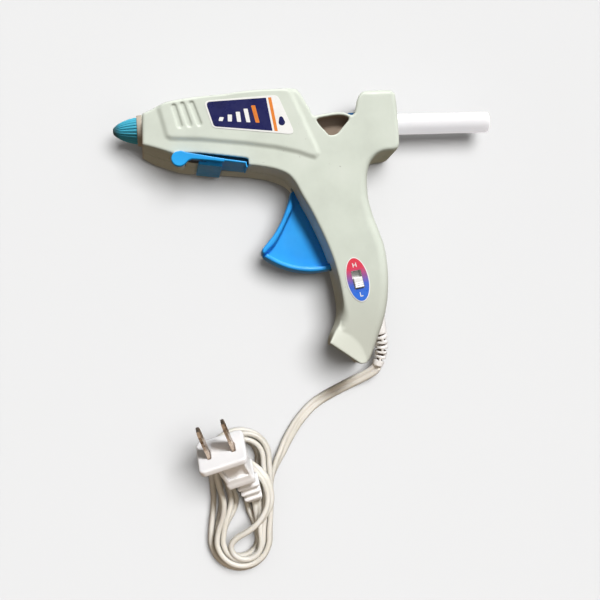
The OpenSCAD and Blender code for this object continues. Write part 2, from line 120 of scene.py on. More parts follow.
def tube_faces(rings, n, caps=True, wrap=False):
    """Quads between rings of n points each, with flat ends."""
    faces = []
    for i in range(rings - (0 if wrap else 1)):
        a, b = i * n, ((i + 1) % rings) * n
        for k in range(n):
            faces.append([a + k, a + (k + 1) % n, b + (k + 1) % n, b + k])
    if caps and not wrap:
        faces.append(list(range(n))[::-1])
        faces.append([(rings - 1) * n + k for k in range(n)])
    return faces


def turned(name, profile, n=96, radius_of=None):
    """A closed ring of [x, radius] points turned about the barrel axis."""
    profile = np.asarray(profile, float)
    m = len(profile)
    a = 2 * math.pi * np.arange(n) / n
    v = np.zeros((m, n, 3))
    for i, (x, r) in enumerate(profile):
        rr = r if radius_of is None else radius_of(i, x, r, a)
        v[i, :, 0] = x
        v[i, :, 1] = AXIS_Y + rr * np.cos(a)
        v[i, :, 2] = MID + rr * np.sin(a)
    faces = np.array(tube_faces(m, n, caps=False, wrap=True))
    return mesh_object(name, v.reshape(-1, 3), faces)


# ---------------------------------------------------------------- solids as distance fields


class Grid:
    def __init__(self, low, high, h):
        self.low, self.h = np.array(low, float), h
        self.n = np.ceil((np.array(high, float) - self.low) / h).astype(int) + 1
        x, y, z = [(self.low[i] + h * np.arange(self.n[i])).astype(np.float32) for i in range(3)]
        self.x, self.y, self.z = x[:, None, None], y[None, :, None], z[None, None, :]
        self.X, self.Y = np.meshgrid(x, y, indexing="ij")


def outline_distance(X, Y, points, values=None):
    """Signed distance to a closed outline, below 0 inside, and the value carried by its nearest point."""
    P = np.asarray(points, np.float32)
    n = len(P)
    best = np.full(X.shape, 1e9, np.float32)
    inside = np.zeros(X.shape, bool)
    carried = np.zeros(X.shape, np.float32)
    for i in range(n):
        (ax, ay), (bx, by) = P[i], P[(i + 1) % n]
        ex, ey = bx - ax, by - ay
        px, py = X - ax, Y - ay
        t = np.clip((px * ex + py * ey) / (ex * ex + ey * ey + 1e-9), 0, 1)
        d = (px - ex * t) ** 2 + (py - ey * t) ** 2
        if values is not None:
            m = d < best
            carried[m] = (values[i] + (values[(i + 1) % n] - values[i]) * t)[m]
        best = np.minimum(best, d)
        if ay != by:
            inside ^= ((ay > Y) != (by > Y)) & (X < ax + (Y - ay) * ex / ey)
    d = np.sqrt(best)
    d[inside] *= -1
    return d if values is None else (d, carried)


def line_distance(X, Y, points):
    """Distance to an open line."""
    P = np.asarray(points, np.float32)
    best = np.full(X.shape, 1e9, np.float32)
    for (ax, ay), (bx, by) in zip(P[:-1], P[1:]):
        ex, ey = bx - ax, by - ay
        t = np.clip(((X - ax) * ex + (Y - ay) * ey) / (ex * ex + ey * ey + 1e-9), 0, 1)
        best = np.minimum(best, (X - ax - ex * t) ** 2 + (Y - ay - ey * t) ** 2)
    return np.sqrt(best)


def smin(a, b, k):
    h = np.clip(0.5 + 0.5 * (b - a) / k, 0, 1)
    return b + (a - b) * h - k * h * (1 - h)


def smax(a, b, k):
    return -smin(-a, -b, k)


def rounded(d, e, r):
    """Where distance d in one view meets distance e across it, with an edge of radius r."""
    p, q = d + r, e + r
    return np.minimum(np.maximum(p, q), 0) + np.sqrt(np.maximum(p, 0) ** 2 + np.maximum(q, 0) ** 2) - r


def skin(field, grid):
    """Points and quads of the surface where a field is 0."""
    F = np.ascontiguousarray(np.broadcast_to(field, tuple(grid.n)), dtype=np.float32)
    S = F < 0
    count = np.zeros(tuple(grid.n - 1), np.int8)
    for a in (0, 1):
        for b in (0, 1):
            for c in (0, 1):
                count += S[a:a + grid.n[0] - 1, b:b + grid.n[1] - 1, c:c + grid.n[2] - 1]
    active = (count > 0) & (count < 8)
    cells = np.argwhere(active)
    index = np.full(active.shape, -1, np.int32)
    index[active] = np.arange(len(cells), dtype=np.int32)
    i, j, k = cells.T
    corner = np.array([[a, b, c] for a in (0, 1) for b in (0, 1) for c in (0, 1)])
    V = np.stack([F[i + a, j + b, k + c] for a, b, c in corner], 1).astype(np.float64)
    place, weight = np.zeros((len(cells), 3)), np.zeros(len(cells))
    for p in range(8):
        for bit in (1, 2, 4):
            if p & bit:
                continue
            q = p | bit
            m = (V[:, p] < 0) != (V[:, q] < 0)
            t = V[m, p] / (V[m, p] - V[m, q])
            place[m] += corner[p] + t[:, None] * (corner[q] - corner[p])
            weight[m] += 1
    verts = grid.low + grid.h * (cells + place / weight[:, None])
    quads = []
    for axis in range(3):
        lo = [slice(1, -1)] * 3
        hi = [slice(1, -1)] * 3
        lo[axis], hi[axis] = slice(None, -1), slice(1, None)
        e = np.argwhere(S[tuple(lo)] != S[tuple(hi)])
        e += np.array([0 if k == axis else 1 for k in range(3)])
        u, v = np.eye(3, dtype=int)[(axis + 1) % 3], np.eye(3, dtype=int)[(axis + 2) % 3]
        q = np.stack([index[tuple((e - u - v).T)], index[tuple((e - v).T)], index[tuple(e.T)], index[tuple((e - u).T)]], 1)
        flip = ~S[tuple(e.T)]
        q[flip] = q[flip][:, ::-1]
        quads.append(q)
    return verts, np.concatenate(quads)


def slim(ob, ratio):
    m = ob.modifiers.new("slim", "DECIMATE")
    m.ratio = ratio
    m.use_collapse_triangulate = False
    return ob


# ---------------------------------------------------------------- materials


def principled(name, **sockets):
    m = bpy.data.materials.new(name)
    m.use_nodes = True
    tree = m.node_tree
    shader = tree.nodes["Principled BSDF"]
    for key, value in sockets.items():
        shader.inputs[key.replace("_", " ").title().replace("Ior", "IOR")].default_value = value
    coords = tree.nodes.new("ShaderNodeTexCoord")
    return m, tree, shader, coords.outputs["Object"]


def noise(tree, vector, scale, detail=3.0, rough=0.5, stretch=None):
    n = tree.nodes.new("ShaderNodeTexNoise")
    n.inputs["Scale"].default_value = scale
    n.inputs["Detail"].default_value = detail
    n.inputs["Roughness"].default_value = rough
    if stretch is not None:
        m = tree.nodes.new("ShaderNodeMapping")
        m.inputs["Scale"].default_value = stretch
        tree.links.new(vector, m.inputs["Vector"])
        vector = m.outputs["Vector"]
    tree.links.new(vector, n.inputs["Vector"])
    return n.outputs["Fac"]


def ramp(tree, value, stops):
    r = tree.nodes.new("ShaderNodeValToRGB")
    tree.links.new(value, r.inputs["Fac"])
    e = r.color_ramp.elements
    while len(e) < len(stops):
        e.new(0.5)
    for k, (at, colour) in enumerate(stops):
        e[k].position = at
        e[k].color = (*colour, 1) if len(colour) == 3 else colour
    return r.outputs["Color"]


def grey(v):
    return (v, v, v)


def mixed(tree, factor, a, b, mode="MIX"):
    m = tree.nodes.new("ShaderNodeMix")
    m.data_type = "RGBA"
    m.blend_type = mode
    for socket, value in ((m.inputs[0], factor), (m.inputs[6], a), (m.inputs[7], b)):
        if hasattr(value, "is_linked") or hasattr(value, "node"):
            tree.links.new(value, socket)
        elif isinstance(value, (int, float)):
            socket.default_value = value
        else:
            socket.default_value = (*value, 1)
    return m.outputs[2]


def bumped(tree, shader, heights, distance, strength=1.0):
    """Heights in turn, each with its own depth in metres."""
    normal = None
    for value, depth in zip(heights, distance):
        b = tree.nodes.new("ShaderNodeBump")
        b.inputs["Strength"].default_value = strength
        b.inputs["Distance"].default_value = depth
        tree.links.new(value, b.inputs["Height"])
        if normal is not None:
            tree.links.new(normal, b.inputs["Normal"])
        normal = b.outputs["Normal"]
    tree.links.new(normal, shader.inputs["Normal"])


def within(tree, vector, box):
    """1 inside a box, each side given as (from, to, blend) in millimetres or None, falling to 0 outside."""
    split = tree.nodes.new("ShaderNodeSeparateXYZ")
    tree.links.new(vector, split.inputs["Vector"])
    total = None
    for axis, limits in zip("XYZ", box):
        if limits is None:
            continue
        lo, hi, soft = limits
        for a, b in ((lo - soft, lo + soft), (hi + soft, hi - soft)):
            r = tree.nodes.new("ShaderNodeMapRange")
            r.interpolation_type = "SMOOTHSTEP"
            r.inputs["From Min"].default_value, r.inputs["From Max"].default_value = min(a, b) * MM, max(a, b) * MM
            r.inputs["To Min"].default_value, r.inputs["To Max"].default_value = (0, 1) if a < b else (1, 0)
            tree.links.new(split.outputs[axis], r.inputs["Value"])
            if total is None:
                total = r.outputs["Result"]
            else:
                m = tree.nodes.new("ShaderNodeMath")
                m.operation = "MULTIPLY"
                tree.links.new(total, m.inputs[0])
                tree.links.new(r.outputs["Result"], m.inputs[1])
                total = m.outputs["Value"]
    return total


def moulded(name, tones, rough, grain=2200.0, depth=0.00001, broad=45.0, specks=None, painted_shade=(), **sockets):
    """Moulded plastic: broad drift of tone, a fine skin, a gloss that wanders, marks if any, and painted shade in the
    given boxes if any.
    """
    m, tree, shader, at = principled(name, **sockets)
    drift = noise(tree, at, broad, 4.0, 0.55)
    colour = ramp(tree, drift, [(0.28, tones[0]), (0.5, tones[1]), (0.74, tones[2])])
    if specks is not None:
        marks = noise(tree, at, specks[1], 2.0, 0.6)
        where = noise(tree, at, 38.0, 2.0, 0.5)
        patch = ramp(tree, where, [(0.52, grey(0)), (0.66, grey(1))])
        mark = ramp(tree, marks, [(0.70, grey(0)), (0.74, grey(1))])
        both = mixed(tree, 1.0, mark, patch, "MULTIPLY")
        faint = mixed(tree, 1.0, both, grey(specks[2]), "MULTIPLY")
        colour = mixed(tree, faint, colour, specks[0])
    # painted shade: each box blends the colour towards a darker tone where shade falls
    for box, tone in painted_shade:
        colour = mixed(tree, within(tree, at, box), colour, tone)
    tree.links.new(colour, shader.inputs["Base Color"])
    gloss = ramp(tree, noise(tree, at, 140.0, 3.0, 0.6), [(0.3, grey(rough[0])), (0.7, grey(rough[1]))])
    tree.links.new(gloss, shader.inputs["Roughness"])
    bumped(tree, shader, [noise(tree, at, grain, 2.0, 0.5), noise(tree, at, 90.0, 2.0, 0.5)], [depth, 0.00004])
    return m


def metal(name, tones, rough, scale=220.0, stretch=(1, 1, 8), **sockets):
    m, tree, shader, at = principled(name, metallic=1.0, **sockets)
    lines = noise(tree, at, scale, 5.0, 0.65, stretch)
    stain = noise(tree, at, 300.0, 3.0, 0.6)
    colour = mixed(tree, ramp(tree, stain, [(0.35, grey(0)), (0.7, grey(0.8))]), ramp(tree, lines, [(0.3, tones[0]), (0.7, tones[1])]), tones[2])
    tree.links.new(colour, shader.inputs["Base Color"])
    tree.links.new(ramp(tree, lines, [(0.3, grey(rough[0])), (0.7, grey(rough[1]))]), shader.inputs["Roughness"])
    bumped(tree, shader, [lines], [0.00002])
    return m


# painted shade on the shell: the lower grip darker, the front of the nose ring brown, the side pocket dark brown, the
# notch behind the stand arm near black
SHELL = moulded("shell_plastic", [(0.575, 0.620, 0.550), (0.625, 0.675, 0.600), (0.665, 0.710, 0.640)], (0.40, 0.54),
                specks=((0.30, 0.28, 0.25), 520.0, 0.75), specular_ior_level=0.42, painted_shade=(
                    ((None, (-160, -38, 30), None), (0.520, 0.535, 0.468)),
                    (((-92, -87.3, 0.5), None, None), (0.520, 0.455, 0.380)),
                    (((3.2, 21.9, 0.3), (46.7, 58.7, 0.4), (0, 30.3, 0.4)), (0.28, 0.22, 0.17)),
                    (((-66.5, -33, 0.3), (33, 40.2, 0.3), (25, 30.4, 0.3)), (0.030, 0.032, 0.036))))
BLUE = moulded("blue_plastic", [(0.026, 0.340, 0.900), (0.032, 0.390, 0.960), (0.040, 0.430, 0.980)], (0.30, 0.44), depth=0.000006,
               specular_ior_level=0.28)
STAND_BLUE = moulded("stand_blue", [(0.014, 0.330, 0.800), (0.018, 0.380, 0.870), (0.024, 0.420, 0.910)], (0.30, 0.44), depth=0.000006,
                     specular_ior_level=0.28)
# the carriage is blue plastic, toned darker than the other blue parts as painted shade where it shows at the saddle
CARRIAGE = moulded("carriage_plastic", [(0.004, 0.080, 0.220), (0.006, 0.095, 0.260), (0.008, 0.110, 0.290)], (0.34, 0.5), specular_ior_level=0.28)
# painted shade: a dark brown for the faces deep in the relief's pits
PIT_SHADE = moulded("relief_pit_painted_shade", [(0.085, 0.055, 0.042), (0.105, 0.068, 0.052), (0.125, 0.082, 0.064)], (0.5, 0.7))
# painted shade: the tip of the cap darker
TEAL = moulded("teal_silicone", [(0.055, 0.400, 0.560), (0.068, 0.485, 0.680), (0.090, 0.545, 0.750)], (0.42, 0.58), grain=1800.0,
               painted_shade=((((-110, -100.2, 2.2), None, None), (0.075, 0.150, 0.170)),), specular_ior_level=0.35)
WHITE = moulded("white_plastic", [(0.76, 0.76, 0.76), (0.84, 0.84, 0.84), (0.89, 0.88, 0.88)], (0.26, 0.40), depth=0.000006)
BLACK = moulded("black_plastic", [(0.012, 0.012, 0.013), (0.020, 0.020, 0.022), (0.030, 0.030, 0.032)], (0.36, 0.52))
RED_SILICONE = moulded("red_silicone", [(0.36, 0.07, 0.035), (0.44, 0.10, 0.05), (0.50, 0.13, 0.07)], (0.45, 0.6))
CERAMIC = moulded("ceramic", [(0.30, 0.26, 0.21), (0.37, 0.32, 0.26), (0.44, 0.39, 0.32)], (0.6, 0.8), grain=1200.0, depth=0.00003)
BOARD = moulded("board_laminate", [(0.020, 0.110, 0.040), (0.028, 0.140, 0.050), (0.036, 0.170, 0.060)], (0.35, 0.5))
WIRE = moulded("wire_skin", [(0.010, 0.010, 0.010), (0.016, 0.016, 0.016), (0.022, 0.022, 0.022)], (0.4, 0.5))
CORD = moulded("cord_vinyl", [(0.615, 0.600, 0.540), (0.668, 0.652, 0.600), (0.700, 0.688, 0.648)], (0.34, 0.48), broad=70.0, grain=1500.0,
               subsurface_weight=0.10, subsurface_radius=(1.0, 0.8, 0.5), subsurface_scale=0.0015)
PLUG = moulded("plug_vinyl", [(0.80, 0.81, 0.84), (0.86, 0.87, 0.89), (0.90, 0.905, 0.92)], (0.28, 0.42), depth=0.000008)
BRASS = metal("nozzle_brass", [(0.50, 0.37, 0.22), (0.66, 0.52, 0.34), (0.20, 0.13, 0.08)], (0.18, 0.38))
NICKEL = metal("blade_nickel", [(0.62, 0.51, 0.41), (0.78, 0.67, 0.56), (0.34, 0.25, 0.19)], (0.20, 0.40))
STEEL = metal("screw_steel", [(0.42, 0.42, 0.43), (0.55, 0.55, 0.56), (0.30, 0.30, 0.31)], (0.25, 0.42))
SPRING = metal("spring_steel", [(0.38, 0.38, 0.40), (0.50, 0.50, 0.52), (0.26, 0.25, 0.25)], (0.28, 0.45), stretch=(8, 1, 1))
ALUMINIUM = metal("cast_aluminium", [(0.52, 0.53, 0.54), (0.62, 0.63, 0.64), (0.45, 0.45, 0.45)], (0.45, 0.65), stretch=(1, 1, 1))


def glue_material():
    # painted light: the stick glows by its own emission, standing in for light passing through it
    m, tree, shader, at = principled("hot_melt", subsurface_weight=1.0, subsurface_radius=(1.0, 0.95, 0.9), subsurface_scale=0.008, specular_ior_level=0.5,
                                     emission_color=(0.95, 0.95, 1.0, 1.0), emission_strength=0.56)
    cloud = noise(tree, at, 160.0, 4.0, 0.6, (0.35, 1, 1))
    tree.links.new(ramp(tree, cloud, [(0.3, (0.44, 0.435, 0.43)), (0.55, (0.465, 0.46, 0.455)), (0.75, (0.485, 0.48, 0.475))]), shader.inputs["Base Color"])
    tree.links.new(ramp(tree, noise(tree, at, 240.0), [(0.3, grey(0.28)), (0.7, grey(0.46))]), shader.inputs["Roughness"])
    bumped(tree, shader, [noise(tree, at, 420.0, 3.0, 0.5, (0.12, 1, 1))], [0.00005])
    return m


GLUE = glue_material()


def paint(ob, material):
    ob.data.materials.clear()
    ob.data.materials.append(material)
    return ob


def piece(ob, material, body, slot, *nodes):
    paint(ob, material)
    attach(ob, body)
    if nodes:
        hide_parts(*nodes)
    return ob


# ---------------------------------------------------------------- the lead: out of the grip, along the table, into its hank and plug

# each point has its height and how far the lead is turned on edge, 0 flat to 1 upright
route = [
    (31.4, -74.8, 9, 0), (29.6, -77, 7.9, 0), (26.4, -78.9, 6.5, 0), (22, -80.9, 4.6, 0), (17.1, -82.9, 2.7, 0), (11.5, -85.3, 1.7, 0), (5.8, -87.8, 1.6, 0),
    (0.1, -90.6, 1.6, 0), (-4.5, -93.6, 1.6, 0), (-8.6, -97.3, 1.6, 0), (-12.7, -101.6, 1.6, 0), (-16, -106.1, 1.6, 0.05), (-19.4, -111.2, 1.7, 0.2),
    (-22.2, -116.3, 1.9, 0.4), (-25.3, -121.6, 2.2, 0.62), (-28, -127.2, 2.6, 0.84), (-30, -133.6, 2.9, 1)]
hank_n, hank_s = np.array((-45.0, -118.5)), np.array((-47.6, -160.0))
hank_len = float(np.linalg.norm(hank_s - hank_n))
along = (hank_s - hank_n) / hank_len
across = np.array((-along[1], along[0]))
across = across if across[0] > 0 else -across
plug_at = np.array((-57.2, -113.0, 32.5))


def turn_matrix(axis, degrees):
    c, s = math.cos(math.radians(degrees)), math.sin(math.radians(degrees))
    if axis == "x":
        return np.array([[1, 0, 0], [0, c, -s], [0, s, c]])
    if axis == "y":
        return np.array([[c, 0, s], [0, 1, 0], [-s, 0, c]])
    return np.array([[c, -s, 0], [s, c, 0], [0, 0, 1]])


PLUG_TURN = turn_matrix("z", 23) @ turn_matrix("x", 38) @ turn_matrix("y", -14)


def hank_point(s, t, z, edge=1.0):
    p = hank_n + along * s + across * t
    return (p[0], p[1], z, edge)


def leg(t, z, squeeze, ends, z_to=None):
    """One straight side of a turn, drawn in towards the middle of the hank."""
    out = []
    for s in np.linspace(ends[0], ends[1], 7):
        f = (s - ends[0]) / (ends[1] - ends[0])
        pull = squeeze * math.exp(-(((s - 22) / 11) ** 2))
        out.append(hank_point(s, t - math.copysign(pull, t), z if z_to is None else z + (z_to - z) * f))
    return out


def bend(t0, t1, z, reach, south, n=7):
    """One end of a turn, from one side to the other."""
    c, r = (t0 + t1) / 2, (t0 - t1) / 2
    out = []
    for a in np.linspace(80, -80, n):
        k = math.cos(math.radians(a)) * reach
        out.append(hank_point(hank_len + k if south else -k, c + r * math.sin(math.radians(a)), z))
    return out


LOW, HIGH = 2.95, 8.7
turns = [hank_point(22, 15.6, LOW), hank_point(31, 15.6, LOW), hank_point(38.5, 15.5, LOW)]
turns += bend(15.5, -15.5, LOW, 15.2, True) + leg(-15.5, LOW, 1.5, (39, 3)) + bend(-15.5, 15.2, LOW, 14.6, False)
turns += [hank_point(s, t, LOW) for s, t in ((3.2, 13.9), (7.4, 12.5), (13, 12.2), (22, 12.3), (31, 12.5), (39, 12.5))]
turns += bend(12.5, -12.5, LOW, 12.2, True) + leg(-12.5, LOW, 2.6, (39, 3)) + bend(-12.5, 9.4, LOW, 10.6, False)
turns += leg(9.4, LOW, 6.0, (3, 39)) + bend(9.4, -9.5, LOW, 9.3, True) + leg(-9.5, LOW, 7.0, (39, 3), HIGH) + bend(-9.5, 11.2, HIGH, 9.6, False)
turns += [hank_point(s, t, HIGH) for s, t in ((3, 11.4), (10, 12), (18, 12.5), (28, 12.2), (38.6, 11.2))]
turns += bend(11.2, -9.6, HIGH, 10.6, True) + leg(-9.6, HIGH, 4.1, (39, 3)) + bend(-9.6, 14.3, HIGH, 12.6, False)
turns += [hank_point(s, t, HIGH) for s, t in ((3, 14.5), (10, 15), (18, 15.3), (28, 15.2), (38.6, 14.4))]
turns += bend(14.4, -12.8, HIGH, 13.6, True)
turns += [hank_point(s, t, z) for s, t, z in ((37, -11.9, 8.8), (30, -9.8, 10.2), (22, -9.6, 12.6), (13.6, -12.2, 14.3))]
# the last turn climbs over the others, passes under the plug, and comes back into its neck
for a in (0, 30, 60, 90, 118):
    turns.append(hank_point(5.9 - 8.5 * math.sin(math.radians(a)), -5.2 - 8.5 * math.cos(math.radians(a)), 14.5))
turns += [hank_point(*q) for q in (
    (0.4, 1.6, 14.0, 0.9), (3.9, 5.4, 12.9, 0.6), (6.6, 8.4, 13.1, 0.36), (10.1, 11.3, 13.7, 0.3), (14.2, 13.2, 14.0, 0.34), (17.8, 14.1, 14.1, 0.4),
    (21.8, 14.2, 14.2, 0.45), (26, 13.2, 14.2, 0.55), (30.4, 10.6, 14.1, 0.75), (34.6, 6.6, 13.8, 0.95), (38.2, 1.6, 12.9, 1), (40.8, -2.8, 11.8, 1),
    (44.2, -5.4, 10.8, 1), (48.2, -4.6, 10.2, 1), (51, -1.4, 9.7, 1), (51.8, 2.8, 9.3, 1), (50.4, 7, 9.1, 1), (47, 9.6, 9.0, 1), (42.6, 10.2, 8.9, 1),
    (37, 9.6, 8.8, 0.95), (31.4, 9, 8.6, 0.7), (27.2, 8.8, 8.6, 0.35))]
neck = [tuple(plug_at + PLUG_TURN @ np.array(q)) + (0.06,) for q in ((6.6, -41.6, 0.5), (6.5, -38.6, 0.0), (6.3, -34.5, 0.0))]
path = smooth_line([*route, *turns, *neck], 1.6)
gaps = np.linalg.norm(np.diff(path[:, :3], axis=0), axis=1)
path = path[np.concatenate([[True], gaps > 0.4])]
path, edges = path[:, :3], np.clip(path[:, 3], 0, 1)
turned_by = edges * math.pi / 2
path[:, 2] = np.maximum(path[:, 2], np.sqrt((2.8 * np.sin(turned_by)) ** 2 + (1.42 * np.cos(turned_by)) ** 2) + 0.06)

# two round cores side by side
profile = []
for a in np.linspace(-128, 128, 11):
    profile.append((1.38 + 1.42 * math.cos(math.radians(a)), 1.42 * math.sin(math.radians(a))))
profile.append((0.0, 0.86))
for a in np.linspace(52, 308, 11):
    profile.append((-1.38 + 1.42 * math.cos(math.radians(a)), 1.42 * math.sin(math.radians(a))))
profile.append((0.0, -0.86))
profile = np.array(profile)

tangents = np.gradient(path, axis=0)
tangents /= np.linalg.norm(tangents, axis=1)[:, None]
rings = []
for p, t, a in zip(path, tangents, turned_by):
    level = unit(np.cross(t, (0, 0, 1.0)))
    high = np.cross(level, t)
    c, s = math.cos(a), math.sin(a)
    wide, thick = level * c + high * s, high * c - level * s
    rings.append(p + profile[:, :1] * wide + profile[:, 1:] * thick)
rings = np.array(rings)
cord = mesh_object("cord", rings.reshape(-1, 3), tube_faces(len(rings), len(profile)))

# ---------------------------------------------------------------- plug

g = Grid((-14.5, -40, -13.5), (14.5, 2, 13.5), 0.4)
W, N, U = g.x, g.y, g.z


def block(points, half, r, corner=0.0):
    d = outline_distance(g.X, g.Y, np.asarray(points, float))[:, :, None] - corner
    return rounded(d, np.abs(U) - half, r)


# face plate with rounded corners, body with a dish in both sides, collar, ribbed neck
face = np.hypot(np.maximum(np.abs(W) - 9.4, 0), np.maximum(np.abs(U) - 8.3, 0)) - 3.0
slab = rounded(face, np.abs(N + 1.9) - 1.9, 0.9)
body = block([(-4.9, -3.0), (9.1, -3.0), (10.5, -18.0), (-2.7, -18.0)], 7.0, 1.3, 0.5)
dish = block([(-1.6, -7.4), (7.6, -7.4), (8.4, -14.2), (-0.6, -14.2)], 30, 0.6, 0.8)
body = smax(body, -np.maximum(dish, 5.5 - np.abs(U)), 0.8)
ridge = block([(-3.0, -18.2), (11.0, -18.2), (10.7, -21.0), (-2.5, -21.0)], 7.2, 1.2, 0.6)
neck_form = block([(1.5, -21), (10.7, -21), (9.9, -37.7), (2.9, -37.7)], 3.4, 1.1, 0.3)
form = smin(smin(slab, body, 1.0), smin(ridge, neck_form, 0.6), 0.9)
for k in range(3):
    o = 0.5 * k
    rib = block([(0.7 + o, -25.7 - 4.2 * k), (11.7 - o, -25.7 - 4.2 * k), (11.5 - o, -27.1 - 4.2 * k), (0.9 + o, -27.1 - 4.2 * k)], 4.5, 0.8, 0.3)
    form = smin(form, rib, 0.5)
for x in (-6.35, 6.35):
    gap = np.maximum(np.maximum(np.abs(W - x) - 0.95, np.abs(U) - 3.4), -2.0 - N)
    form = np.maximum(form, -gap)
verts, quads = skin(form, g)
verts = plug_at + verts @ PLUG_TURN.T
plug = slim(mesh_object("plug", verts, quads), 0.6)

piece(plug, PLUG, "gun", "plug_vinyl", "plug_body")
piece(cord, CORD, "gun", "cord_vinyl", "cord_lead", "cord_hank")

# ---------------------------------------------------------------- strain relief

relief_a, relief_b = np.array((32.0, -49.5, 17.0)), np.array((31.4, -74.8, 9.0))
spots = smooth_line([tuple(relief_a), (32.5, -55, 15.6), (33.7, -62, 13.4), (33.4, -68.5, 11.0), tuple(relief_b)], 0.3)
far = np.concatenate([[0], np.cumsum(np.linalg.norm(np.diff(spots, axis=0), axis=1))])
around = 2 * math.pi * np.arange(40) / 40
tang = np.gradient(spots, axis=0)
tang /= np.linalg.norm(tang, axis=1)[:, None]
rows, pits = [], []
for p, t, d in zip(spots, tang, far):
    f = d / far[-1]
    r = 3.65 if d < 7.8 else 3.6 - 0.75 * (d - 7.8) / (far[-1] - 7.8)
    level = unit(np.cross(t, (0, 0, 1.0)))
    high = np.cross(level, t)
    rr = np.full(40, r)
    pits.append(np.zeros(40))
    if d > 8.2:
        phase = (d - 8.4) / 2.75
        cell = phase - math.floor(phase)
        if phase < 6.0:
            pit = np.clip((0.5 - abs(cell - 0.36) - 0.24) / 0.06, 0, 1)
            keep = np.clip((np.abs(np.sin(around + (math.pi / 2 if int(phase) % 2 else 0.0))) - 0.18) / 0.12, 0, 1)
            pits[-1] = pit * keep
            rr = r - 1.6 * pits[-1]
    if f > 0.985:
        rr = rr - 0.5 * ((f - 0.985) / 0.015) ** 2
    rows.append(p + level * (rr * np.cos(around))[:, None] + high * (rr * np.sin(around))[:, None])
relief = mesh_object("relief", np.array(rows).reshape(-1, 3), tube_faces(len(rows), 40))
piece(relief, WHITE, "gun", "white_plastic", "strain_relief")
# painted shade: faces deep in the pits take the dark brown
relief.data.materials.append(PIT_SHADE)
pits = np.concatenate(pits)
for f in relief.data.polygons:
    if pits[list(f.vertices)].mean() > 0.7:
        f.material_index = 1

# ---------------------------------------------------------------- the two housing shells

# outline with the radius of the edge at each point, clockwise from the top of the nose
outline = [
    (-87, 64.6, 1.5), (-82, 65.6, 1.8), (-78, 66.7, 2.2), (-74.5, 67.9, 2.6), (-69, 68.9, 3), (-59, 70.4, 3), (-50, 72.2, 3), (-38, 73.4, 3), (-25, 74, 3),
    (-12, 74, 3), (-8.1, 73.7, 2.8), (-5.2, 72.8, 2.6), (-3.5, 70.6, 2.4), (-2.2, 68.1, 2.2), (-0.9, 65.2, 2), (0.3, 63, 1.8), (1, 61.2, 1.6),
    (1.6, 59.2, 1.4), (2.6, 58.1, 1.3), (4.8, 58.3, 1.2), (10.3, 59.2, 1.2), (15.1, 59.8, 1.2), (19.2, 59.5, 1.2), (21.6, 58.4, 1.2), (23.2, 58, 1.3),
    (24.4, 59.2, 1.6), (26.5, 66.7, 1.4), (27.6, 68.9, 1.6), (29.8, 71, 2.2), (33, 71.5, 3), (46, 71.5, 3), (48, 69.5, 2.8), (48.5, 56, 2.8),
    (48, 41.5, 2.4), (46.8, 39, 2), (44.5, 38.1, 1.8), (41, 38, 1.8), (37.4, 37.2, 1.9), (34, 35.2, 2.2), (31, 31, 3), (29.5, 25, 4.4), (29.3, 18, 5.4), (29.8, 12, 6),
    (31.5, 4, 6.2), (34, -4, 6.4), (36, -11, 6.4), (37, -18, 6.4), (37.2, -26, 6.2), (36.6, -35, 6), (35, -44, 5.6), (32.5, -52, 5), (28.5, -61, 4.2),
    (25, -68.5, 3.2), (22.5, -72.6, 2), (20.5, -74, 1.2), (17, -74, 0.9), (2.2, -62.8, 0.8), (5.2, -57, 2.2), (8.5, -53, 4.2), (10.4, -49, 3.4),
    (11.2, -44, 1.6), (10.9, -38, 0.9), (9.9, -30, 0.9), (7.9, -20.2, 0.9), (5.3, -11.6, 0.9), (1.9, -2.6, 0.9), (-2.3, 7.3, 0.9), (-6.6, 15.8, 0.9),
    (-9.6, 22.2, 0.9), (-12.8, 26.3, 0.9), (-17.5, 28.9, 0.9), (-23, 30.6, 0.9), (-33.5, 32.4, 0.9), (-45, 33.6, 0.9), (-57.8, 35.2, 0.9),
    (-62, 36, 0.9), (-68, 38, 0.9), (-74, 40.2, 1), (-80, 42.4, 0.9), (-87.8, 44.7, 1.1)]
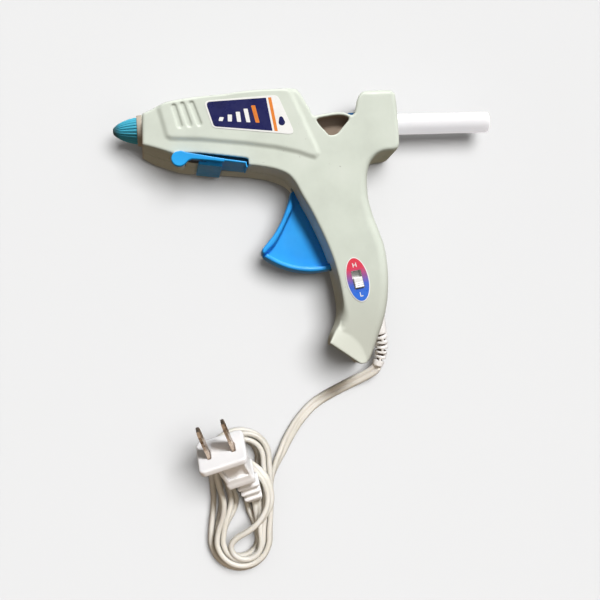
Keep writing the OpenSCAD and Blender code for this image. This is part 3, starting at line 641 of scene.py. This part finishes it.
# where the walls of the grip lean: its front, and the end of its foot
front_lean = {(5.2, -57): 0.3, (8.5, -53): 0.7, (10.4, -49): 1, (11.2, -44): 1, (10.9, -38): 1, (9.9, -30): 1, (7.9, -20.2): 1, (5.3, -11.6): 1,
              (1.9, -2.6): 1, (-2.3, 7.3): 1, (-6.6, 15.8): 1, (-9.6, 22.2): 0.7, (-12.8, 26.3): 0.2}
collar_lean = {(23.2, 58): 0.5, (24.4, 59.2): 1, (26.5, 66.7): 1, (27.6, 68.9): 1, (29.8, 71): 0.6}
nose_lean = {(-87, 64.6): 1, (-87.8, 44.7): 0.3}
belly_lean = {(-87.8, 44.7): 0.4, (-80, 42.4): 1, (-74, 40.2): 1, (-68, 38): 1, (-62, 36): 0.5}
foot_lean = {(20.5, -74): 0.6, (17, -74): 1, (2.2, -62.8): 1, (5.2, -57): 0.3}
hollow = [
    (-84, 63), (-79, 64.2), (-74.5, 66.2), (-69, 66.9), (-59, 68.4), (-50, 70.2), (-38, 71.4), (-25, 72), (-12, 72), (-8, 71.2), (-5.5, 69.2),
    (-3.5, 66.3), (-2, 63.5), (-1, 60), (0, 45), (27, 45), (29.5, 38), (28, 32), (27.4, 25), (27.3, 18), (27.8, 11.5), (29.5, 4), (32, -4),
    (34, -11.5), (35, -18), (35.2, -26), (34.6, -35), (33, -43.5), (30.5, -51.3), (26.6, -60.2), (22.5, -68.5), (21.5, -70), (18.5, -71.2),
    (6, -61.8), (7.2, -57.5), (10.3, -54), (12.4, -49.8), (13.9, -44.3), (14, -38), (13.2, -30), (11.5, -20), (8.9, -10.8), (5.3, -1.7), (0.7, 8.4),
    (-3.8, 17), (-7.5, 23.7), (-11.6, 28), (-16.8, 30.8), (-22.6, 32.6), (-33.3, 34.6), (-44.8, 36.4), (-57.5, 38.6), (-61.5, 39.4), (-67.3, 40.4),
    (-73.3, 42.2), (-79.3, 44.4), (-84, 46.2)]
# top face of the raised side panel
panel = [
    (-77.4, 63.2), (-74.3, 49.3), (-72.9, 48.4), (-58.2, 47.6), (-34.6, 44.9), (-18.8, 42.4), (-6.9, 39.4), (-1.2, 37.2), (1.4, 36.4), (2.4, 37.6),
    (1.6, 40.4), (-7.6, 64.6), (-9.6, 70.2), (-11.4, 71.6), (-14, 72), (-25, 72.1), (-38, 71.5), (-50, 70.3), (-59, 68.5), (-69, 67), (-75, 66.3),
    (-76.8, 65.3)]
recess = [
    (3.8, 55.8), (5.4, 52.7), (8.4, 49.1), (9.9, 47.4), (11.5, 47.1), (13.7, 47.6), (14.8, 48.2), (18.3, 52), (21, 55), (21.5, 56.3), (19.1, 57.6),
    (14.9, 58), (10.1, 57.4), (5, 56.5)]
trigger_gap = [
    (-13.6, 20.5), (-12.4, 16.6), (-6, 4), (-1, -7), (3, -18), (4.4, -23.9), (8, -23.4), (12, -22.3), (15, -21.1), (12, -10), (4, 8), (-4, 22), (-7.6, 22.8)]
stand_notch = [
    (-67.5, 40.0), (-58.5, 39.5), (-52.4, 38.7), (-46.2, 37.9), (-40, 37), (-34.9, 36.2), (-33.6, 35.6), (-33.5, 25), (-66, 25)]
grooves = [((-70.7, 64.3), (-68.1, 54.0)), ((-66.3, 65.1), (-63.2, 54.4)), ((-61.5, 65.5), (-58.1, 54.8))]
screws = [(-75.4, 45.4), (-16, 68), (-24, 39.5), (22, 30), (29.2, -6), (15, -60), (36.5, 43.4)]
SWITCH = (19.4, -30.4)
PIVOT = (-1.5, 17.8)
TILT = math.radians(9.3)

H = 0.5
corners = {k for k, q in enumerate(outline) if k in (0, len(outline) - 1) or q[:2] in ((17, -74), (2.2, -62.8))}
dense = smooth_line([(*q, front_lean.get(q[:2], 0), foot_lean.get(q[:2], 0), collar_lean.get(q[:2], 0),
                      nose_lean.get(q[:2], 0), belly_lean.get(q[:2], 0)) for q in outline], 2.0, closed=True, corners=corners)
g = Grid((-89, -76, -1.0), (50.5, 76, 18.0), H)
X, Y, w = g.X, g.Y, g.z
d_out, edge = outline_distance(X, Y, dense[:, :2], dense[:, 2])
front = np.clip(outline_distance(X, Y, dense[:, :2], dense[:, 3])[1], 0, 1)
end = np.clip(outline_distance(X, Y, dense[:, :2], dense[:, 4])[1], 0, 1)
collar = np.clip(outline_distance(X, Y, dense[:, :2], dense[:, 5])[1], 0, 1)
nose = np.clip(outline_distance(X, Y, dense[:, :2], dense[:, 6])[1], 0, 1)
belly = np.clip(outline_distance(X, Y, dense[:, :2], dense[:, 7])[1], 0, 1)
d_hollow = outline_distance(X, Y, hollow)
d_notch = outline_distance(X, Y, stand_notch)
d_seat = outline_distance(X, Y, [(-47.9, 36.2), (-33.7, 34.0), (-33.7, 25), (-47.9, 25)])
d_panel = outline_distance(X, Y, panel)
d_recess = outline_distance(X, Y, smooth_line(recess, 1.0, closed=True))
d_gap = outline_distance(X, Y, trigger_gap)
aw = np.abs(w)
relief_u = unit(relief_b - relief_a)
# the barrel is crowned across its top, most of all at the nose
crown = np.interp(X, [-87, -83, -79.3, -75, -71.3, -66, -60, -57, -53, -48, -43, -38, -33, -28, -20, -15, -9.5, -5, -3],
                  [4.0, 3.0, 1.7, 1.3, 1.15, 1.1, 1.2, 1.5, 2.1, 2.5, 2.5, 2.2, 1.9, 1.7, 1.6, 1.4, 1.0, 0.3, 0])
crest = np.interp(X, [-90, -87, -82, -78, -74.5, -69, -59, -50, -38, -25, -12, -8.1, -5, -3, 0],
                  [64.2, 64.8, 65.6, 66.7, 67.9, 68.9, 70.4, 72.2, 73.4, 74, 74, 73.8, 73.4, 80, 95]) + 0.2


def deep(a):
    return a[:, :, None]


def shell(name, side):
    near = side > 0
    lean = 1.6 * (aw / 14 - 1) if near else 0.25 * aw - 1.6
    foot = 0.16 * (14 - aw) if near else 0.16 * (14 + aw)
    recede = 0.23 * (14 - aw) if near else 0.23 * (14 + aw)
    depth = 14 - aw if near else 14 + aw
    d = deep(d_out) + deep(front) * lean + deep(end) * foot + deep(collar) * recede + deep(nose) * depth * 0.1 - deep(belly) * depth * 0.082
    top = 15 if near else 17
    form = rounded(d, aw - 14, deep(np.maximum(edge, 0.7)))
    raised = smax((deep(d_panel) - (15 - aw) * 2.0) * 0.45, aw - 15, 0.25) if near else smax((deep(d_panel) - (17 - aw) * 0.72) * 0.81, aw - 17, 0.7)
    raised = smax(raised, deep(d_out) + 0.1, 0.8)
    form = smin(form, raised, 0.25 if near else 0.5)
    form = smax(form, (deep(Y - crest) + deep(crown) * (aw / 14)) * 0.9, 0.6)
    t = (X - 2.2) * 0.60345 + (Y + 62.8) * 0.79741
    u = (X - 2.2) * 0.79741 - (Y + 62.8) * 0.60345
    rise = np.clip(14 + 3 * (1 - t / np.clip(9.4 - 0.03 * (u - 7) ** 2, 1.5, None)), 0, 17)
    form = smin(form, smax(d, aw - deep(rise), 0.7), 0.3)
    pocket = np.maximum(deep(d_recess), deep(8.3 + (Y - 47.6) * 0.1) - aw)
    form = smax(form, -pocket, 0.35)
    for a, b in grooves:
        form = smax(form, -np.maximum(deep(line_distance(X, Y, [a, b])) - 1.15, top - 0.7 - aw), 0.5)
    bore = np.sqrt((g.y - AXIS_Y) ** 2 + w**2)
    void = deep(d_hollow) + deep(front) * np.maximum(lean, 0) + deep(end) * foot + deep(crown * np.clip((Y - 50) / 9, 0, 1)) * (aw / 14)
    void = void + deep(nose) * depth * 0.1
    inner = rounded(void, aw - deep(np.where((X > -68) & (X < -32) & (Y < 42), 9.0, 12.0)), deep(np.maximum(edge - 1.6, 0.3)))
    inner = np.minimum(inner, np.maximum(deep(np.maximum(np.abs(X - 12.7) - 15.7, np.abs(Y - 53.25) - 8.75)), aw - 7.2))
    inner = np.minimum(inner, np.maximum(deep(np.maximum(np.abs(X - 19.45) - 8.95, 58 - Y)), aw - 7.2))
    inner = np.minimum(inner, np.maximum(deep(d_gap), aw - deep(np.where(Y > 13, 3.3, 2.2))))
    rim_gap = np.maximum(np.abs(np.hypot(X - PIVOT[0], Y - PIVOT[1]) - 40.4) - 1.9, np.maximum(np.abs(X - 9.5) - 6.5, np.abs(Y + 21) - 9))
    inner = np.minimum(inner, np.maximum(deep(rim_gap), aw - 5))
    inner = np.minimum(inner, np.maximum(bore - 6.9, g.x + 82))
    inner = np.minimum(inner, np.maximum(bore - 9.2, np.abs(g.x - 34.5) - 9.5))
    inner = np.minimum(inner, np.maximum(bore - 6.7, 43 - g.x))
    field = smax(form, -inner, 0.5)
    field = smax(field, -deep(np.maximum(np.abs(X + 53.5) - 6.7, Y - 35.4)), 0.5)
    field = smax(field, -(deep(d_seat) if near else np.maximum(deep(d_seat), aw - 3.4)), 0.3)
    z = MID + side * w
    rel = (g.x - relief_a[0], g.y - relief_a[1], z - relief_a[2])
    ahead = rel[0] * relief_u[0] + rel[1] * relief_u[1] + rel[2] * relief_u[2]
    away = np.sqrt(np.maximum(rel[0] ** 2 + rel[1] ** 2 + rel[2] ** 2 - ahead**2, 0))
    field = smax(field, -np.maximum(away - 3.9, np.abs(ahead - 11) - 11.5), 0.5)
    if near:
        field = smax(field, -np.maximum(deep(d_notch), 10.8 - w), 0.3)
        lug = smax(deep(np.hypot(X + 69.5, Y - 36.2) - 4.0), np.abs(w - 10.5) - 3.5, 0.6)
        field = smin(field, lug, 1.0)
        c, s = math.cos(TILT), math.sin(TILT)
        lx, ly = (X - SWITCH[0]) * c + (Y - SWITCH[1]) * s, -(X - SWITCH[0]) * s + (Y - SWITCH[1]) * c
        field = smax(field, -np.maximum(deep(np.maximum(np.abs(lx) - 2.5, np.abs(ly) - 4.65)), 9.0 - w), 0.3)
    else:
        for x, y in screws:
            boss = np.maximum(deep(np.hypot(X - x, Y - y) - 3.2), np.abs(w - 7) - 6.5)
            field = np.minimum(field, boss)
            hole = np.maximum(deep(np.hypot(X - x, Y - y) - 2.5), 9.0 - w)
            hole = np.minimum(hole, deep(np.hypot(X - x, Y - y) - 1.4))
            field = smax(field, -hole, 0.4)
    field = np.maximum(field, 0.02 - w)
    verts, quads = skin(field, g)
    verts[verts[:, 2] < 0.3, 2] = 0.02
    verts[:, 2] = MID + side * verts[:, 2]
    if not near:
        quads = quads[:, ::-1]
    return slim(mesh_object(name, verts, quads), 0.75 if near else 0.45)


left = piece(shell("left_shell", 1), SHELL, "gun", "shell", "left_housing")
right_side = piece(shell("right_shell", -1), SHELL, "gun", "shell", "right_housing")

# ---------------------------------------------------------------- nose ring, cap, glue stick


def arc(cx, cy, r, a0, a1, n=6):
    return [(cx + r * math.cos(math.radians(a)), cy + r * math.sin(math.radians(a))) for a in np.linspace(a0, a1, n)]


ring = turned("lip_ring", [(-84.8, 7.15), *arc(-89.5, 7.65, 0.5, 270, 180), *arc(-89.4, 7.4, 0.6, 180, 110), *arc(-87.6, 7.8, 0.5, 100, 90, 3), (-87.0, 8.3), (-84.8, 8.3)], 128)
piece(ring, SHELL, "gun", "shell", "nose_ring")

FLUTES = 24
outside = [(-88.0, 6.9), (-89.4, 7.0), (-90.6, 6.9), (-92, 6.65), (-93.6, 6.28), (-95.2, 5.8), (-96.8, 5.2), (-98.4, 4.45), (-99.8, 3.65), (-101, 2.8),
           (-101.8, 2.1), (-102.3, 1.5)]
fine = smooth_line(outside, 0.35)
cap_profile = [*[tuple(p) for p in fine], (-102.48, 1.1), (-102.4, 0.85), (-101.6, 0.8), (-101.4, 1.62), (-88.0, 5.5)]
n_fine = len(fine)


def flutes(i, x, r, a):
    if i >= n_fine:
        return r
    depth = 0.5 * np.clip((-89.6 - x) / 0.8, 0, 1) * np.clip((102.2 + x) / 2.2, 0, 1) * (0.45 + 0.55 * r / 7)
    phase = (a * FLUTES / (2 * math.pi)) % 1.0
    cut = np.exp(-(((phase - 0.5) / 0.17) ** 2))
    return r - depth * cut


cap = turned("cap", cap_profile, FLUTES * 12, flutes)
piece(cap, TEAL, "gun", "cap_teal", "nozzle_sleeve")

stick = turned("stick", [(-14, 0.02), (-14, 5.1), *arc(-13.5, 5.1, 0.5, 180, 90, 4), *[(x, 5.6) for x in np.linspace(-10, 98, 28)],
                         *arc(101.9, 5.0, 0.6, 90, 0, 5), (102.45, 4.4), (102.4, 2.2), (102.42, 0.02)], 72)
piece(stick, GLUE, "stick", "hot_melt", "glue_stick")

# ---------------------------------------------------------------- trigger

def on_arc(a, r):
    return (PIVOT[0] + r * math.cos(math.radians(a)), PIVOT[1] + r * math.sin(math.radians(a)))


front_edge = [(-11, 19.4), (-11.9, 16.4), (-13.6, 11.5), (-16.8, 4.5), (-21.1, -2.4), (-25, -6.9), (-28, -10.2)]
inner_edge = [(-10, 19.5), (-10.7, 16.7), (-10.4, 12.8), (-10.9, 10.2), (-13.4, 5.6), (-17.2, -1.4), (-21.4, -7.7), (-25.9, -12)]
g = Grid((-31, -26, -1.2), (11, 51, 8.2), 0.4)
X, Y, w = g.X, g.Y, np.abs(g.z)
sweep = [on_arc(a, 41.6) for a in np.arange(-129.6, -75, 3.0)]
web = outline_distance(X, Y, smooth_line(front_edge, 1.5).tolist() + sweep + [(8.4, -10), (6.4, 4), (4.6, 14), (-6, 22)])
bar_line = smooth_line(front_edge, 1.5).tolist() + [(-28.5, -11.8), (-28.2, -13.0), (-27.1, -13.2)] + smooth_line(inner_edge, 1.5)[::-1].tolist()
bar = outline_distance(X, Y, bar_line)
rim = np.abs(np.hypot(X - PIVOT[0], Y - PIVOT[1]) - 40.4) - 1.2
angle = np.degrees(np.arctan2(Y - PIVOT[1], X - PIVOT[0]))
rim = np.maximum(rim, np.maximum(-128.4 - angle, angle + 75.6) * 0.7)
form = rounded(deep(web), w - 1.5, 0.5)
form = smin(form, rounded(deep(rim), w - 4.4, 0.9), 0.5)
form = smin(form, rounded(deep(bar) + 0.1, w - 4.5, 1.0), 0.35)
form = smin(form, np.maximum(deep(np.hypot(X - PIVOT[0], Y - PIVOT[1]) - 5.4), w - 2.8), 0.4)
c, s = math.cos(math.radians(10.5)), math.sin(math.radians(10.5))
ax, ay = (X - PIVOT[0]) * c - (Y - PIVOT[1]) * s, (X - PIVOT[0]) * s + (Y - PIVOT[1]) * c
arm = np.maximum(np.abs(ax) - 3.2, np.abs(ay - 14.34) - 14.34)
arm = np.minimum(arm, np.hypot(X - 3.73, Y - 46) - 3.2)
form = smin(form, rounded(deep(arm), w - 2.8, 0.4), 0.3)
form = np.maximum(form, -deep(np.hypot(X - PIVOT[0], Y - PIVOT[1]) - 2.1))
slot = np.hypot(ax, np.maximum(np.abs(ay - 28.38) - 0.7, 0)) - 1.8
form = np.maximum(form, -deep(slot))
full = Grid((-31, -26, -8.4), (11, 51, 8.4), 0.4)
zs = np.abs(full.z.ravel())
at = np.clip((zs - g.low[2]) / g.h, 0, g.n[2] - 1.001)
k0 = at.astype(int)
fr = (at - k0)[None, None, :].astype(np.float32)
form = np.broadcast_to(form, tuple(g.n))
form = form[:, :, k0] * (1 - fr) + form[:, :, k0 + 1] * fr
verts, quads = skin(form, full)
verts[:, 2] += MID
trigger = slim(mesh_object("trigger_lever", verts, quads), 0.5)
piece(trigger, BLUE, "trigger", "blue_plastic", "trigger")

# ---------------------------------------------------------------- stand

g = Grid((-75, 27.8, 4.6), (-32.8, 41.6, 34.6), 0.3)
X, Y, z = g.X, g.Y, g.z
disc = np.hypot(X + 69.5, Y - 36.2) - 4.0
arm = outline_distance(X, Y, [
    (-68.4, 40.0), (-58.8, 38.1), (-52.7, 36.8), (-46.6, 35.6), (-46.6, 33.7), (-52, 34.6), (-58, 35.3), (-63, 35.8), (-67, 34.5)])
side_view = smin(disc, arm, 1.6)
near = rounded(deep(side_view), np.abs(z - 32.5) - 1.3, 0.4)
cross = outline_distance(X, Y, [(-59.6, 35.2), (-47.4, 34.4), (-47.4, 31.8), (-59.6, 33.5)])
foot = outline_distance(X, Y, [(-47.6, 35.7), (-35.0, 33.6), (-34.9, 32.5), (-47.6, 34.5)])
lip = outline_distance(X, Y, [(-35.9, 33.6), (-35.1, 33.5), (-34.5, 30.4), (-35.3, 30.3)])
form = smin(near, rounded(deep(cross), np.abs(z - 18.9) - 12.5, 0.4), 0.5)
form = smin(form, rounded(deep(foot), np.abs(z - 23.9) - 9.9, 0.35), 0.3)
form = smin(form, rounded(deep(lip), np.abs(z - 27.4) - 6.4, 0.25), 0.25)
verts, quads = skin(form, g)
stand = slim(mesh_object("stand_arm", verts, quads), 0.5)
piece(stand, STAND_BLUE, "stand", "stand_plastic", "stand")

# ---------------------------------------------------------------- heat switch: button, plate and its letters


def switch_frame(ob):
    ob.matrix_world = Matrix.Translation((SWITCH[0] * MM, SWITCH[1] * MM, 0)) @ Matrix.Rotation(TILT, 4, "Z")
    return ob


g = Grid((-4.2, -6.4, 25.9), (4.2, 5.8, 33.2), 0.2)
X, Y, z = g.X, g.Y, g.z
cap_box = np.maximum(np.abs(X) - 2.35, np.abs(Y + 1.65) - 2.8)
form = rounded(deep(cap_box), np.abs(z - 29.6) - 2.6, 0.4)
for y in (-3.5, -2.5, -1.5):
    form = smax(form, -np.maximum(deep(np.abs(Y - y)) - 0.18, 32.08 - z), 0.1)
form = smin(form, rounded(deep(np.maximum(np.abs(X) - 3.4, np.abs(Y + 0.25) - 5.15)), np.abs(z - 27.65) - 0.75, 0.2), 0.1)
verts, quads = skin(form, g)
button = switch_frame(mesh_object("heat_button", verts, quads))
button.data.transform(button.matrix_world)
button.matrix_world = Matrix.Identity(4)
slim(button, 0.5)
piece(button, WHITE, "heat_button", "white_plastic", "switch_button")


def plate_material():
    m, tree, shader, at = principled("plate_print", specular_ior_level=0.45)
    place = tree.nodes.new("ShaderNodeMapping")
    place.vector_type = "TEXTURE"
    place.inputs["Location"].default_value = (SWITCH[0] * MM, SWITCH[1] * MM, 0)
    place.inputs["Rotation"].default_value = (0, 0, TILT)
    tree.links.new(at, place.inputs["Vector"])
    split = tree.nodes.new("ShaderNodeSeparateXYZ")
    tree.links.new(place.outputs["Vector"], split.inputs["Vector"])
    span = tree.nodes.new("ShaderNodeMapRange")
    tree.links.new(split.outputs["Y"], span.inputs["Value"])
    span.inputs["From Min"].default_value = -0.0119
    span.inputs["From Max"].default_value = 0.0119
    tone = ramp(tree, span.outputs["Result"], [(0.20, (0.022, 0.150, 0.700)), (0.40, (0.060, 0.130, 0.600)), (0.58, (0.330, 0.090, 0.300)),
                                               (0.76, (0.700, 0.040, 0.090)), (0.95, (0.720, 0.035, 0.065))])
    fleck = noise(tree, at, 900.0, 2.0)
    tone = mixed(tree, ramp(tree, fleck, [(0.3, grey(0)), (0.8, grey(0.05))]), tone, (0.75, 0.75, 0.78))
    tree.links.new(tone, shader.inputs["Base Color"])
    tree.links.new(ramp(tree, noise(tree, at, 200.0), [(0.3, grey(0.24)), (0.7, grey(0.38))]), shader.inputs["Roughness"])
    bumped(tree, shader, [fleck], [0.000006])
    return m


def flat_shape(name, outer, z0, z1, holes=()):
    """A thin printed shape: an outline between two heights, with holes, in the side view."""
    curve = bpy.data.curves.new(name, "CURVE")
    curve.dimensions = "2D"
    curve.fill_mode = "BOTH"
    curve.extrude = (z1 - z0) / 2 * MM
    for pts in (outer, *holes):
        s = curve.splines.new("POLY")
        s.points.add(len(pts) - 1)
        for p, q in zip(s.points, pts):
            p.co = (q[0] * MM, q[1] * MM, 0, 1)
        s.use_cyclic_u = True
    tmp = bpy.data.objects.new(name + "_line", curve)
    scene.collection.objects.link(tmp)
    bpy.context.view_layer.update()
    mesh = bpy.data.meshes.new_from_object(tmp.evaluated_get(bpy.context.evaluated_depsgraph_get()))
    bpy.data.objects.remove(tmp)
    mesh.name = name
    mesh.transform(Matrix.Translation((0, 0, (z0 + z1) / 2 * MM)))
    ob = bpy.data.objects.new(name, mesh)
    scene.collection.objects.link(ob)
    return ob


def in_place(pts):
    c, s = math.cos(TILT), math.sin(TILT)
    return [(SWITCH[0] + x * c - y * s, SWITCH[1] + x * s + y * c) for x, y in pts]


def oval(a, b, n=72):
    return [(a * math.cos(2 * math.pi * k / n), b * math.sin(2 * math.pi * k / n)) for k in range(n)]


window = [(-2.7, -4.85), (2.7, -4.85), (2.7, 4.85), (-2.7, 4.85)]
base = flat_shape("plate_base", in_place(oval(6.1, 11.9)), 31.0, 31.22, [in_place(window)])
piece(base, WHITE, "gun", "plate_print", "switch_plate")
tint = flat_shape("plate_tint", in_place(oval(5.6, 11.4)), 31.22, 31.3, [in_place(window)])
piece(tint, plate_material(), "gun", "plate_print")
h_letter = [(-1.05, 6.6), (-0.6, 6.6), (-0.6, 7.55), (0.6, 7.55), (0.6, 6.6), (1.05, 6.6), (1.05, 8.9), (0.6, 8.9), (0.6, 7.98), (-0.6, 7.98),
            (-0.6, 8.9), (-1.05, 8.9)]
l_letter = [(-0.7, -9.1), (0.95, -9.1), (0.95, -8.62), (-0.22, -8.62), (-0.22, -6.8), (-0.7, -6.8)]
for name, pts in (("letter_high", h_letter), ("letter_low", l_letter)):
    piece(flat_shape(name, in_place(pts), 31.3, 31.35), WHITE, "gun", "plate_print")

# ---------------------------------------------------------------- label on the raised panel: a plain design of bands and a drop


def soft_corners(points, radius, n=6):
    """An outline with its corners rounded."""
    P = [np.array(p, float) for p in points]
    out = []
    for k in range(len(P)):
        a, b, c = P[k - 1], P[k], P[(k + 1) % len(P)]
        r = radius if np.isscalar(radius) else radius[k]
        u, v = unit(a - b), unit(c - b)
        half = math.acos(max(-1, min(1, float(u @ v)))) / 2
        cut = min(r / math.tan(half), 0.45 * np.linalg.norm(a - b), 0.45 * np.linalg.norm(c - b))
        p, q = b + u * cut, b + v * cut
        for f in np.linspace(0, 1, n):
            out.append(tuple((1 - f) ** 2 * p + 2 * f * (1 - f) * b + f * f * q))
    return out


def inked(name, tone, deep_tone):
    return moulded(name, [deep_tone, tone, tone], (0.22, 0.34), grain=1600.0, depth=0.000004, broad=160.0, specular_ior_level=0.3)


NAVY = inked("ink_navy", (0.012, 0.014, 0.095), (0.008, 0.009, 0.070))
ORANGE = inked("ink_orange", (0.780, 0.240, 0.040), (0.680, 0.190, 0.030))
PAPER = inked("label_paper", (0.860, 0.860, 0.850), (0.800, 0.800, 0.790))

LABEL = np.array([(-51.2, 52.4), (-8.2, 47.6), (-55.2, 66.8), (-16.2, 69.2)])
L0 = 32.0


def on_label(a, b):
    """A place on the label, a from its left end to its right and b from its lower edge up."""
    low, high = LABEL[0] + (LABEL[1] - LABEL[0]) * a, LABEL[2] + (LABEL[3] - LABEL[2]) * a
    return tuple(low + (high - low) * b)


def printed(name, corners, radius, z0, ink, *nodes):
    pts = soft_corners([on_label(*c) for c in corners], radius)
    return piece(flat_shape(name, pts, L0 + z0, L0 + z0 + 0.03), ink, "gun", "label_print", *nodes)


def drop(at, r, turn=0.0):
    cx, cy = on_label(*at)
    pts = []
    for k in range(40):
        a = 2 * math.pi * k / 40
        rr = r * (1 + 0.9 * max(0.0, math.cos(a)) ** 6)
        pts.append((cx + rr * math.cos(a + math.pi / 2 + turn), cy + rr * math.sin(a + math.pi / 2 + turn)))
    return pts


piece(flat_shape("label_base", soft_corners([on_label(*c) for c in ((0, 0), (1, 0), (1, 1), (0, 1))], [2.4, 2.4, 3.4, 2.6]), L0, L0 + 0.16),
      PAPER, "gun", "label_print", "label_plate")
printed("label_field", ((0.02, 0.05), (0.73, 0.05), (0.83, 0.95), (0.022, 0.95)), [1.9, 0.3, 0.3, 2.1], 0.16, NAVY)
printed("label_band", ((0.755, 0.05), (0.795, 0.05), (0.90, 0.95), (0.857, 0.95)), 0.2, 0.16, ORANGE)
for k in range(5):
    a = 0.10 + 0.115 * k
    printed(f"label_bar_{k}", ((a, 0.26), (a + 0.05, 0.26), (a + 0.085, 0.40 + 0.09 * k), (a + 0.03, 0.40 + 0.09 * k)), 0.35, 0.19, ORANGE if k == 4 else PAPER)
piece(flat_shape("label_drop", drop((0.895, 0.30), 1.7, 0.1), L0 + 0.16, L0 + 0.19), NAVY, "gun", "label_print")

# ---------------------------------------------------------------- looks of the parts that stay as they are

for names, material in (
        (("housing_screws", "carriage_pin", "jaw_pin", "trigger_pin", "stand_pin", "cord_clamp_screws"), STEEL),
        (("heater_clip", "sleeve_clamp", "grip_jaw", "trigger_spring"), SPRING), (("nozzle_tip",), BRASS), (("plug_blades",), NICKEL),
        (("chamber_isolator", "inlet_sleeve"), RED_SILICONE), (("melt_chamber",), ALUMINIUM), (("heater_element",), CERAMIC),
        (("rear_guide", "switch_body"), BLACK), (("feed_carriage",), CARRIAGE), (("switch_board",), BOARD), (("wire_harness",), WIRE),
        (("cord_clamp",), WHITE)):
    for n in names:
        paint(NODE[n], material)
        if n in ("feed_carriage", "plug_blades", "rear_guide", "grip_jaw"):
            m = NODE[n].modifiers.new("edges", "BEVEL")
            m.width = 0.00025
            m.segments = 2
            m.limit_method = "ANGLE"
            m.angle_limit = math.radians(40)

# ---------------------------------------------------------------- floor and light

floor_mesh = bpy.data.meshes.new("floor")
floor_mesh.from_pydata([(-3, -3, -0.00005), (3, -3, -0.00005), (3, 3, -0.00005), (-3, 3, -0.00005)], [], [(0, 1, 2, 3)])
floor = bpy.data.objects.new("floor", floor_mesh)
scene.collection.objects.link(floor)
m, tree, shader, at = principled("floor_paper", roughness=0.9, specular_ior_level=0.1)
tree.links.new(ramp(tree, noise(tree, at, 3.0), [(0.3, (0.398, 0.398, 0.400)), (0.7, (0.402, 0.402, 0.404))]), shader.inputs["Base Color"])
floor_mesh.materials.append(m)
floor.visible_diffuse = False
floor.visible_glossy = False


def sun(name, towards, strength, spread, colour=(1, 1, 1)):
    data = bpy.data.lights.new(name, "SUN")
    data.energy = strength
    data.angle = math.radians(spread)
    data.color = colour
    ob = bpy.data.objects.new(name, data)
    ob.location = Vector(towards)
    ob.rotation_euler = (-Vector(towards)).to_track_quat("-Z", "Y").to_euler()
    scene.collection.objects.link(ob)
    return ob


def lights_only(light, targets, state):
    """Keep a lamp off some objects, or for them alone."""
    group = bpy.data.collections.new(light.name + "_lights")
    for ob in targets:
        group.objects.link(ob)
    light.light_linking.receiver_collection = group
    for entry in group.collection_objects:
        entry.light_linking.link_state = state


lead_set = [cord, relief, plug, NODE["plug_blades"]]
lights_only(sun("key", (0.13, 0.73, 0.67), 3.85, 14, (1.0, 0.985, 0.96)), [floor, *lead_set], "EXCLUDE")
lights_only(sun("side", (0.85, 0.25, 0.46), 1.0, 50), [floor, *lead_set], "EXCLUDE")
lights_only(sun("lead_key", (0.30, 0.48, 0.82), 3.7, 16, (1.0, 0.99, 0.985)), lead_set, "INCLUDE")
lights_only(sun("lead_fill", (-0.15, -0.45, 0.88), 0.75, 100, (1.0, 0.80, 0.62)), lead_set, "INCLUDE")
lights_only(sun("floor_key", (0.19, 0.19, 0.965), 5.85, 36), [floor], "INCLUDE")
lights_only(sun("floor_top", (0.0, 0.05, 1.0), 0.8, 110), [floor], "INCLUDE")

# an even, dim room, a little warmer below
world = bpy.data.worlds.new("studio")
world.use_nodes = True
scene.world = world
tree = world.node_tree
shade = tree.nodes["Background"]
coords = tree.nodes.new("ShaderNodeTexCoord")
lean = tree.nodes.new("ShaderNodeVectorMath")
lean.operation = "DOT_PRODUCT"
lean.inputs[1].default_value = (0.10, 0.74, 0.66)
tree.links.new(coords.outputs["Generated"], lean.inputs[0])
span = tree.nodes.new("ShaderNodeMapRange")
span.inputs["From Min"].default_value = -1
span.inputs["From Max"].default_value = 1
tree.links.new(lean.outputs["Value"], span.inputs["Value"])
sky = ramp(tree, span.outputs["Result"], [(0.0, (0.225, 0.165, 0.112)), (0.42, (0.220, 0.175, 0.128)), (0.60, (0.13, 0.12, 0.105)), (0.85, (0.155, 0.155, 0.155)),
                                          (1.0, (0.17, 0.17, 0.17))])
tree.links.new(sky, shade.inputs["Color"])
shade.inputs["Strength"].default_value = 0.9

bpy.context.view_layer.update()
